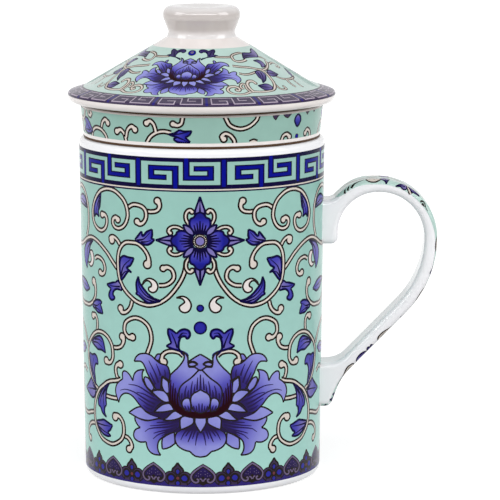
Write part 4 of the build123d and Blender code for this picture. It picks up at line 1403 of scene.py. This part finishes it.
def on_foot(base, radius, edge_round, lean, turn):
    """Up the outside of a ring from its foot, which may be rounded."""
    round_reach = edge_round * pi / 2

    def place(point):
        angle = point[0] / COLLAR_RADIUS + turn
        bend = point[1] / edge_round if point[1] < round_reach else pi / 2
        rise = edge_round * (1 - cos(bend)) + max(point[1] - round_reach, 0)
        reach = radius - edge_round * (1 - sin(bend)) + lean * rise + FILM * sin(bend)
        height = base + rise - FILM * cos(bend)
        normal = (sin(bend) * sin(angle), -sin(bend) * cos(angle), -cos(bend))
        return (reach * sin(angle), -reach * cos(angle), height), normal

    return place, False


def lid_height(radius):
    """Height and slope of the lid's top at a radius: a cone, a hollow bend and a flatter brim."""
    half_turn = (BRIM_FALL - CONE_FALL) / 2
    reach = LID_BREAK_ROUND * half_turn / (1 + CONE_FALL * BRIM_FALL)
    share = (radius - LID_BREAK[0] + reach) / (2 * reach)
    share = min(max(share, 0), 1)
    slope = CONE_FALL + (BRIM_FALL - CONE_FALL) * share
    if share in (0, 1):
        return LID_BREAK[1] + slope * (radius - LID_BREAK[0]), slope
    start = LID_BREAK[1] - CONE_FALL * reach
    run = share * 2 * reach
    return start + CONE_FALL * run + (slope - CONE_FALL) * run / 2, slope


def lid_spot(angle, reach):
    """A point of the lid's top. Past the brim's flat, the reach runs on round its edge."""
    radius = min(reach, EDGE_START)
    height, slope = lid_height(radius)
    tilt = atan(-slope)
    if reach > EDGE_START:
        bend = (reach - EDGE_START) / cos(BRIM_ANGLE) / LID_EDGE_ROUND
        tilt = BRIM_ANGLE + bend
        radius += LID_EDGE_ROUND * (sin(tilt) - sin(BRIM_ANGLE))
        height += LID_EDGE_ROUND * (cos(tilt) - cos(BRIM_ANGLE))
    normal = Vector((sin(tilt) * sin(angle), -sin(tilt) * cos(angle), cos(tilt)))
    spot = Vector((radius * sin(angle), -radius * cos(angle), height)) + normal * FILM
    return spot, normal


def on_lid_top(side, turn):
    front = Vector((0, -1))

    def place(point):
        angle = turn - side * front.angle_signed(Vector(point))
        return lid_spot(angle, hypot(point[0], point[1]))

    return place, side < 0


def on_lid_band(turn):
    def place(point):
        return lid_spot(point[0] / LID_BAND_RADIUS + turn, -point[1])

    return place, False


def on_handle():
    def place(point):
        step = 0
        while step < len(HANDLE_REACH) - 2 and HANDLE_REACH[step + 1] < point[0]:
            step += 1
        share = (point[0] - HANDLE_REACH[step]) / (HANDLE_REACH[step + 1] - HANDLE_REACH[step])
        middle = HANDLE_PATH[step][0].lerp(HANDLE_PATH[step + 1][0], share)
        normal = HANDLE_PATH[step][1].lerp(HANDLE_PATH[step + 1][1], share).normalized()
        side = 1 if point[1] > 0 else -1
        over = max(abs(point[1]) - HANDLE_HALF_FLAT, 0) / HANDLE_EDGE_ROUND
        across = min(abs(point[1]), HANDLE_HALF_FLAT) + (HANDLE_EDGE_ROUND + FILM) * sin(over)
        rise = FILM - (HANDLE_EDGE_ROUND + FILM) * (1 - cos(over))
        spot_normal = (normal.x * cos(over), side * sin(over), normal.y * cos(over))
        return (middle.x + normal.x * rise, side * across, middle.y + normal.y * rise), spot_normal

    return place, False


# Materials

# Scale of the flecks in a surface
GLAZE_FLECKS = 60.0
GROUND_FLECKS = 220.0
DEEP_FLECKS = 260.0
FINE_FLECKS = 300.0

# Roughness of the clear glaze, of the print, of its deep inks and of the painted shadow in the joints, at its
# least and at its most
GLAZE_GLOSS = (0.05, 0.09)
PRINT_GLOSS = (0.16, 0.24)
DEEP_GLOSS = (0.14, 0.22)
JOINT_SHADOW_GLOSS = (0.5, 0.65)

# Specular level of the white glaze, of the knob's, of the lid's ground, of the print and of its darkest inks
GLAZE_SHINE = 0.7
KNOB_SHINE = 0.8
LID_SHINE = 0.5
PRINT_SHINE = 0.12
DIVIDER_SHINE = 0.06
DARK_SHINE = 0.04

# Tone of the darkest flecks in the white glaze and in the knob's
GLAZE_DARKER = 0.975
KNOB_DARKER = 0.96

# The knob's colours, from its root to its top: a darker warm grey on its sides, which is painted shade,
# running into near-white at its root and on its top
KNOB_PAINTED_SHADE = (199, 190, 186)
KNOB_PAINTED_SHADE_FADE = [(0.0, (226, 223, 223)), (0.3, KNOB_PAINTED_SHADE), (0.75, KNOB_PAINTED_SHADE), (1.0, (228, 225, 225))]

# The part of the flecks' noise that is used
NOISE_RANGE = (0.3, 0.7)

# Numbers of the colour sockets of a mix node
MIX_BASE = 6
MIX_TONE = 7
MIX_RESULT = 2


def colour(red, green, blue):
    """A colour as a screen shows it, from 0 to 255, in the linear values that nodes take."""
    values = []
    for value in (red, green, blue):
        value /= 255
        values.append(value / 12.92 if value <= 0.04045 else ((value + 0.055) / 1.055) ** 2.4)
    return (*values, 1.0)


def make_range(nodes, links, value, low, high, to_low=0.0, to_high=1.0):
    """A node that spreads a value from one range over another."""
    spread = nodes.new("ShaderNodeMapRange")
    links.new(value, spread.inputs["Value"])
    for name, end in (("From Min", low), ("From Max", high), ("To Min", to_low), ("To Max", to_high)):
        spread.inputs[name].default_value = end
    return spread


def make_fleck_group():
    """Faint unevenness of colour and gloss over a fired surface."""
    group = bpy.data.node_groups.new("fired_unevenness", "ShaderNodeTree")
    for name in ("Size", "Darker", "Gloss Low", "Gloss High"):
        group.interface.new_socket(name, in_out="INPUT", socket_type="NodeSocketFloat")
    group.interface.new_socket("Tone", in_out="OUTPUT", socket_type="NodeSocketColor")
    group.interface.new_socket("Roughness", in_out="OUTPUT", socket_type="NodeSocketFloat")
    nodes = group.nodes
    links = group.links
    source = nodes.new("NodeGroupInput")
    result = nodes.new("NodeGroupOutput")
    place = nodes.new("ShaderNodeTexCoord")
    noise = nodes.new("ShaderNodeTexNoise")
    noise.inputs["Detail"].default_value = 4
    noise.inputs["Roughness"].default_value = 0.55
    links.new(place.outputs["Object"], noise.inputs["Vector"])
    links.new(source.outputs["Size"], noise.inputs["Scale"])
    tone = make_range(nodes, links, noise.outputs["Fac"], *NOISE_RANGE)
    gloss = make_range(nodes, links, noise.outputs["Fac"], *NOISE_RANGE)
    links.new(source.outputs["Darker"], tone.inputs["To Min"])
    links.new(source.outputs["Gloss Low"], gloss.inputs["To Min"])
    links.new(source.outputs["Gloss High"], gloss.inputs["To Max"])
    links.new(tone.outputs["Result"], result.inputs["Tone"])
    links.new(gloss.outputs["Result"], result.inputs["Roughness"])
    return group


FLECKS = make_fleck_group()


def make_ramp(nodes, fade):
    """A colour ramp through the positions and colours of a fade."""
    ramp = nodes.new("ShaderNodeValToRGB")
    stops = ramp.color_ramp.elements
    while len(stops) < len(fade):
        stops.new(0.5)
    for stop, (position, shown) in zip(stops, fade):
        stop.position = position
        stop.color = colour(*shown)
    return ramp


def make_glaze(name, shown, size, darker, gloss=PRINT_GLOSS, shine=PRINT_SHINE, fade=None):
    """A glazed surface in one colour, or in the colours of a fade along the drawn shade."""
    material = bpy.data.materials.new(name)
    material.use_nodes = True
    nodes = material.node_tree.nodes
    links = material.node_tree.links
    shader = nodes["Principled BSDF"]
    flecks = nodes.new("ShaderNodeGroup")
    flecks.node_tree = FLECKS
    flecks.inputs["Size"].default_value = size
    flecks.inputs["Darker"].default_value = darker
    flecks.inputs["Gloss Low"].default_value = gloss[0]
    flecks.inputs["Gloss High"].default_value = gloss[1]
    mix = nodes.new("ShaderNodeMix")
    mix.data_type = "RGBA"
    mix.blend_type = "MULTIPLY"
    mix.inputs["Factor"].default_value = 1.0
    mix.inputs[MIX_BASE].default_value = colour(*shown)
    if fade:
        drawn = nodes.new("ShaderNodeAttribute")
        drawn.attribute_name = "shade"
        ramp = make_ramp(nodes, fade)
        links.new(drawn.outputs["Fac"], ramp.inputs["Fac"])
        links.new(ramp.outputs["Color"], mix.inputs[MIX_BASE])
    links.new(flecks.outputs["Tone"], mix.inputs[MIX_TONE])
    links.new(mix.outputs[MIX_RESULT], shader.inputs["Base Color"])
    links.new(flecks.outputs["Roughness"], shader.inputs["Roughness"])
    shader.inputs["IOR"].default_value = 1.5
    shader.inputs["Specular IOR Level"].default_value = shine
    return material


def make_knob_glaze():
    """The knob's glaze with painted shade: a darker warm grey on its sides that runs into the white at its
    root and on its top.
    """
    material = make_glaze("knob_glaze_with_painted_shade", KNOB_PAINTED_SHADE, GLAZE_FLECKS, KNOB_DARKER, GLAZE_GLOSS, KNOB_SHINE)
    nodes = material.node_tree.nodes
    links = material.node_tree.links
    place = nodes.new("ShaderNodeTexCoord")
    parts = nodes.new("ShaderNodeSeparateXYZ")
    links.new(place.outputs["Object"], parts.inputs["Vector"])
    height = make_range(nodes, links, parts.outputs["Z"], LID_CROWN[1] * MM, KNOB_TOP * MM)
    ramp = make_ramp(nodes, KNOB_PAINTED_SHADE_FADE)
    links.new(height.outputs["Result"], ramp.inputs["Fac"])
    links.new(ramp.outputs["Color"], nodes["Mix"].inputs[MIX_BASE])
    return material


def make_white(name, shown):
    return make_glaze(name, shown, GLAZE_FLECKS, GLAZE_DARKER, GLAZE_GLOSS, GLAZE_SHINE)


WHITE_GLAZE = make_white("white_porcelain_glaze", (243, 243, 246))
WARM_GLAZE = make_white("warm_white_porcelain_glaze", (233, 226, 223))
KNOB_GLAZE = make_knob_glaze()

# Each ink: name of its material, colour, scale and darkness of its flecks, and its gloss and shine if unusual
INK_LOOKS = {
    # The wall's mint print, which darkens towards the rim as painted shade
    "mint": ("mint_ground_print", (158, 203, 192), GROUND_FLECKS, 0.95),
    # The lid's mint print, paler than the wall's: painted light and sheen on its upward face. The handle's
    # strip takes it too
    "painted_light_mint": ("pale_mint_ground_print", (181, 210, 202), GROUND_FLECKS, 0.94, PRINT_GLOSS, LID_SHINE),
    # The collar's mint print, darker than the wall's: painted shade under the lid's brim
    "painted_shade_mint": ("shaded_mint_ground_print", (147, 185, 174), GROUND_FLECKS, 0.94),
    "lilac": ("lilac_grey_fret_print", (180, 166, 184), DEEP_FLECKS, 0.92),
    # Painted shadow in the joints under the collar and under the lid, dark brown and matt
    "clay": ("bare_clay_edge", (84, 62, 46), FINE_FLECKS, 0.8, JOINT_SHADOW_GLOSS),
    "line": ("dark_contour_print", (28, 18, 14), FINE_FLECKS, 0.85),
    "cream": ("cream_stem_print", (218, 208, 199), FINE_FLECKS, 0.93),
    "ivory": ("ivory_drop_print", (230, 222, 219), FINE_FLECKS, 0.95),
    "wine": ("dark_wine_shade_print", (38, 5, 16), FINE_FLECKS, 0.85, PRINT_GLOSS, DARK_SHINE),
    "vein": ("violet_vein_print", (34, 18, 74), FINE_FLECKS, 0.85),
    "russet": ("russet_heart_print", (104, 50, 58), FINE_FLECKS, 0.85),
    "royal": ("royal_blue_print", (4, 12, 140), DEEP_FLECKS, 0.88, DEEP_GLOSS, DARK_SHINE),
    "navy": ("navy_border_print", (8, 2, 54), DEEP_FLECKS, 0.85, DEEP_GLOSS, DARK_SHINE),
    "dusk": ("dusk_grey_violet_print", (110, 95, 130), DEEP_FLECKS, 0.9),
    "plum": ("plum_brim_print", (57, 43, 76), DEEP_FLECKS, 0.88),
    "divider": ("violet_brim_divider_print", (44, 36, 122), DEEP_FLECKS, 0.88, PRINT_GLOSS, DIVIDER_SHINE),
    "umber": ("soft_brown_contour_print", (84, 70, 60), FINE_FLECKS, 0.88),
    "heather": ("grey_violet_leaf_print", (84, 72, 132), DEEP_FLECKS, 0.9),
    "petal": ("violet_petal_print", (90, 85, 200), DEEP_FLECKS, 0.92, DEEP_GLOSS),
    "bloom": ("blue_flower_and_leaf_print", (40, 44, 180), DEEP_FLECKS, 0.92, DEEP_GLOSS),
}

# Colours of the inks that change along the drawn shade
FADES = {
    # The wall's mint: lighter at the foot, darker towards the rim, as painted shade
    "mint": [(0.0, (170, 218, 209)), (0.5, (159, 204, 195)), (0.85, (151, 197, 187)), (1.0, (149, 190, 181))],
    "heather": [(0.0, (44, 32, 82)), (0.5, (74, 62, 132)), (1.0, (128, 118, 172))],
    "petal": [
        (0.0, (30, 12, 66)), (0.22, (48, 36, 124)), (0.5, (84, 80, 182)), (0.8, (126, 126, 207)),
        (1.0, (146, 148, 218)),
    ],
    "bloom": [(0.0, (8, 7, 66)), (0.25, (18, 22, 148)), (0.6, (68, 64, 174)), (1.0, (130, 121, 182))],
}
INKS = {ink: make_glaze(*look, fade=FADES.get(ink)) for ink, look in INK_LOOKS.items()}


# Building the pieces of print

# What is gathered for a piece, how much wider its map is than the drawing, and the margin in the map
PIECE_LISTS = ("spots", "normals", "faces", "map", "shades")
MAP_SPREAD = 1.02
MAP_MARGIN = 0.01


def gather(pieces, flat, cuttings, place, mirrored):
    """Adds a cut sheet, laid in one of its places, to the lists of each ink's piece."""
    order = (0, 2, 1) if mirrored else (0, 1, 2)
    for ink, triangles in cuttings.items():
        piece = pieces.setdefault(ink, {key: [] for key in PIECE_LISTS})
        numbers = {}
        for corners, shades in triangles:
            face = []
            for turn in order:
                corner = corners[turn]
                if corner not in numbers:
                    numbers[corner] = len(piece["spots"])
                    spot, normal = place(flat[corner])
                    piece["spots"].append([value * MM for value in spot])
                    piece["normals"].append(Vector(normal).normalized())
                face.append(numbers[corner])
                piece["map"] += flat[corner]
                piece["shades"].append(shades[turn])
            piece["faces"].append(face)


def make_piece(name, ink, piece):
    """A smooth mesh in one ink, with the drawing as its map and the drawn shade at its corners."""
    mesh = bpy.data.meshes.new(name)
    mesh.from_pydata(piece["spots"], [], piece["faces"])
    low = [min(piece["map"][axis::2]) for axis in (0, 1)]
    span = max(max(piece["map"][axis::2]) - low[axis] for axis in (0, 1)) * MAP_SPREAD
    unrolled = mesh.uv_layers.new(name="OFBake")
    places = [(value - low[index % 2]) / span + MAP_MARGIN for index, value in enumerate(piece["map"])]
    unrolled.data.foreach_set("uv", places)
    drawn = mesh.attributes.new("shade", "FLOAT", "CORNER")
    drawn.data.foreach_set("value", piece["shades"])
    mesh.polygons.foreach_set("use_smooth", [True] * len(mesh.polygons))
    mesh.normals_split_custom_set_from_vertices(piece["normals"])
    mesh.materials.append(INKS[ink])
    made = bpy.data.objects.new(name, mesh)
    bpy.context.scene.collection.objects.link(made)
    return made


def lay_print(body, name, zones):
    """Makes one piece per ink from cut sheets, each laid in its places on the porcelain."""
    pieces = {}
    for (flat, cuttings), places in zones:
        for place, mirrored in places:
            gather(pieces, flat, cuttings, place, mirrored)
    for ink, piece in pieces.items():
        made = make_piece(f"{name}_{ink}", ink, piece)
        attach(made, body)


# Glaze and print of each part

# A drawing and its mirror image, and the turns of what is drawn once for the front and once for the back
SIDES = (1, -1)
HALVES = (0, pi)


def turns_round(repeats):
    """The turns of a motif that is repeated evenly all round."""
    return [2 * pi * step / repeats for step in range(repeats)]


def glaze_solids():
    glazes = {"lid_knob": KNOB_GLAZE, "lid_cover": WARM_GLAZE, "infuser": WARM_GLAZE}
    for name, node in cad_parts.items():
        node.data.materials.clear()
        node.data.materials.append(glazes.get(name, WHITE_GLAZE))


def print_cup():
    panel = [on_wall(0, side, turn) for side in SIDES for turn in HALVES]
    key = [on_wall(0, 1, turn) for turn in turns_round(KEY_REPEATS)]
    border = [on_wall(BORDER_START, side, turn) for side in SIDES for turn in turns_round(BORDER_REPEATS)]
    zones = [(draw_panel(), panel), (draw_key_band(), key), (draw_border(), border)]
    lay_print("cup", "cup_print", zones)


def print_handle():
    lay_print("cup", "handle_print", [(draw_handle(), [on_handle()])])


def print_collar():
    collar = [on_collar(turn) for turn in HALVES]
    foot = [on_foot(CUP_HEIGHT, COLLAR_BASE_RADIUS, COLLAR_FOOT_ROUND, COLLAR_LEAN, turn) for turn in HALVES]
    zones = [(draw_collar(), collar), (draw_joint_shadow_ring(*COLLAR_JOINT_SHADOW), foot)]
    lay_print("infuser", "collar_print", zones)


def print_lid():
    quarters = [on_lid_top(side, radians(LID_TURN) + turn) for side in SIDES for turn in HALVES]
    band = [on_lid_band(radians(LID_KEY_TURN) + turn) for turn in turns_round(LID_KEY_REPEATS)]
    seat = [on_foot(CUP_HEIGHT + COLLAR_HEIGHT, LID_SEAT_RADIUS, 0, 0, turn) for turn in HALVES]
    zones = [(draw_lid(), quarters), (draw_lid_band(), band), (draw_joint_shadow_ring(*LID_JOINT_SHADOW), seat)]
    lay_print("lid", "lid_print", zones)


# Camera, floor and light, in metres

# The camera: its sensor and lens in millimetres, how far it sees, its place, and its tilt in degrees
CAMERA_SENSOR = 36.0
CAMERA_LENS = 209.95
CAMERA_SIGHT = 10.0
CAMERA_PLACE = (0.014942, -0.900, 0.211115)
CAMERA_TILT = 81.0595

# Strength of the white surroundings, as light and where they are seen
WHITE = (1, 1, 1, 1)
STUDIO_LIGHT = 0.42
STUDIO_SEEN = 1.0

# The floor: colour, half of its width, its depth below the cup, and its glow near the cup and away from it
FLOOR_GREY = (0.6, 0.6, 0.6, 1)
FLOOR_HALF = 4.0
FLOOR_DROP = 0.0001
FLOOR_REACH = (0.1, 0.6)
FLOOR_GLOW = (0.62, 0.9)

# Each softbox: name, place, width, height and power. They are aimed at one spot on the cup's axis
SOFTBOXES = [
    ("softbox_front", (0, -1.0, 0.65), 2.4, 0.16, 9.0),
    ("softbox_left", (-0.85, -0.25, 0.5), 0.5, 0.5, 2.8),
    ("softbox_right", (0.85, -0.25, 0.5), 0.5, 0.5, 2.8),
]
SOFTBOX_AIM = (0, 0, 0.08)


def make_camera():
    camera = bpy.data.cameras.new("camera")
    camera.sensor_width = CAMERA_SENSOR
    camera.lens = CAMERA_LENS
    camera.clip_end = CAMERA_SIGHT
    stand = bpy.data.objects.new("camera", camera)
    stand.location = CAMERA_PLACE
    stand.rotation_euler = (radians(CAMERA_TILT), 0, 0)
    bpy.context.scene.collection.objects.link(stand)
    bpy.context.scene.camera = stand


def seen_rays(nodes, links):
    """A mask of the rays that show the white studio: those of the camera, of gloss and of clear bodies."""
    rays = nodes.new("ShaderNodeLightPath")
    seen = rays.outputs["Is Camera Ray"]
    for kind in ("Is Glossy Ray", "Is Transmission Ray"):
        either = nodes.new("ShaderNodeMath")
        either.operation = "MAXIMUM"
        links.new(seen, either.inputs[0])
        links.new(rays.outputs[kind], either.inputs[1])
        seen = either.outputs["Value"]
    return seen


def make_floor():
    """A plain pale floor that keeps the cup's shadow and turns white away from it."""
    mesh = bpy.data.meshes.new("floor")
    corners = box((-FLOOR_HALF, -FLOOR_HALF), (FLOOR_HALF, FLOOR_HALF))
    mesh.from_pydata([corner + (0,) for corner in corners], [], [(0, 1, 2, 3)])
    floor = bpy.data.objects.new("floor", mesh)
    floor.location.z = -FLOOR_DROP
    bpy.context.scene.collection.objects.link(floor)
    material = bpy.data.materials.new("pale_floor")
    material.use_nodes = True
    nodes = material.node_tree.nodes
    links = material.node_tree.links
    nodes.remove(nodes["Principled BSDF"])
    matt = nodes.new("ShaderNodeBsdfDiffuse")
    matt.inputs["Color"].default_value = FLOOR_GREY
    glow = nodes.new("ShaderNodeEmission")
    glow.inputs["Color"].default_value = WHITE
    place = nodes.new("ShaderNodeTexCoord")
    length = nodes.new("ShaderNodeVectorMath")
    length.operation = "LENGTH"
    links.new(place.outputs["Object"], length.inputs[0])
    spread = make_range(nodes, links, length.outputs["Value"], *FLOOR_REACH, *FLOOR_GLOW)
    level = nodes.new("ShaderNodeMath")
    level.operation = "MULTIPLY"
    links.new(seen_rays(nodes, links), level.inputs[0])
    links.new(spread.outputs["Result"], level.inputs[1])
    links.new(level.outputs["Value"], glow.inputs["Strength"])
    both = nodes.new("ShaderNodeAddShader")
    links.new(matt.outputs["BSDF"], both.inputs[0])
    links.new(glow.outputs["Emission"], both.inputs[1])
    links.new(both.outputs["Shader"], nodes["Material Output"].inputs["Surface"])
    floor.data.materials.append(material)


def make_world():
    """White studio surroundings, softer in the light that they give than where they are seen."""
    world = bpy.data.worlds.new("studio")
    bpy.context.scene.world = world
    world.use_nodes = True
    nodes = world.node_tree.nodes
    links = world.node_tree.links
    background = nodes["Background"]
    background.inputs["Color"].default_value = WHITE
    strength = nodes.new("ShaderNodeMix")
    strength.inputs["A"].default_value = STUDIO_LIGHT
    strength.inputs["B"].default_value = STUDIO_SEEN
    links.new(seen_rays(nodes, links), strength.inputs["Factor"])
    links.new(strength.outputs["Result"], background.inputs["Strength"])


def make_softbox(name, place, width, height, power):
    lamp = bpy.data.lights.new(name, "AREA")
    lamp.shape = "RECTANGLE"
    lamp.size = width
    lamp.size_y = height
    lamp.energy = power
    stand = bpy.data.objects.new(name, lamp)
    stand.location = place
    aim = Vector(SOFTBOX_AIM) - Vector(place)
    stand.rotation_euler = aim.to_track_quat("-Z", "Y").to_euler()
    bpy.context.scene.collection.objects.link(stand)


glaze_solids()
print_cup()
print_handle()
print_collar()
print_lid()
make_camera()
make_floor()
make_world()
for softbox in SOFTBOXES:
    make_softbox(*softbox)
bpy.context.scene.view_settings.view_transform = "Standard"
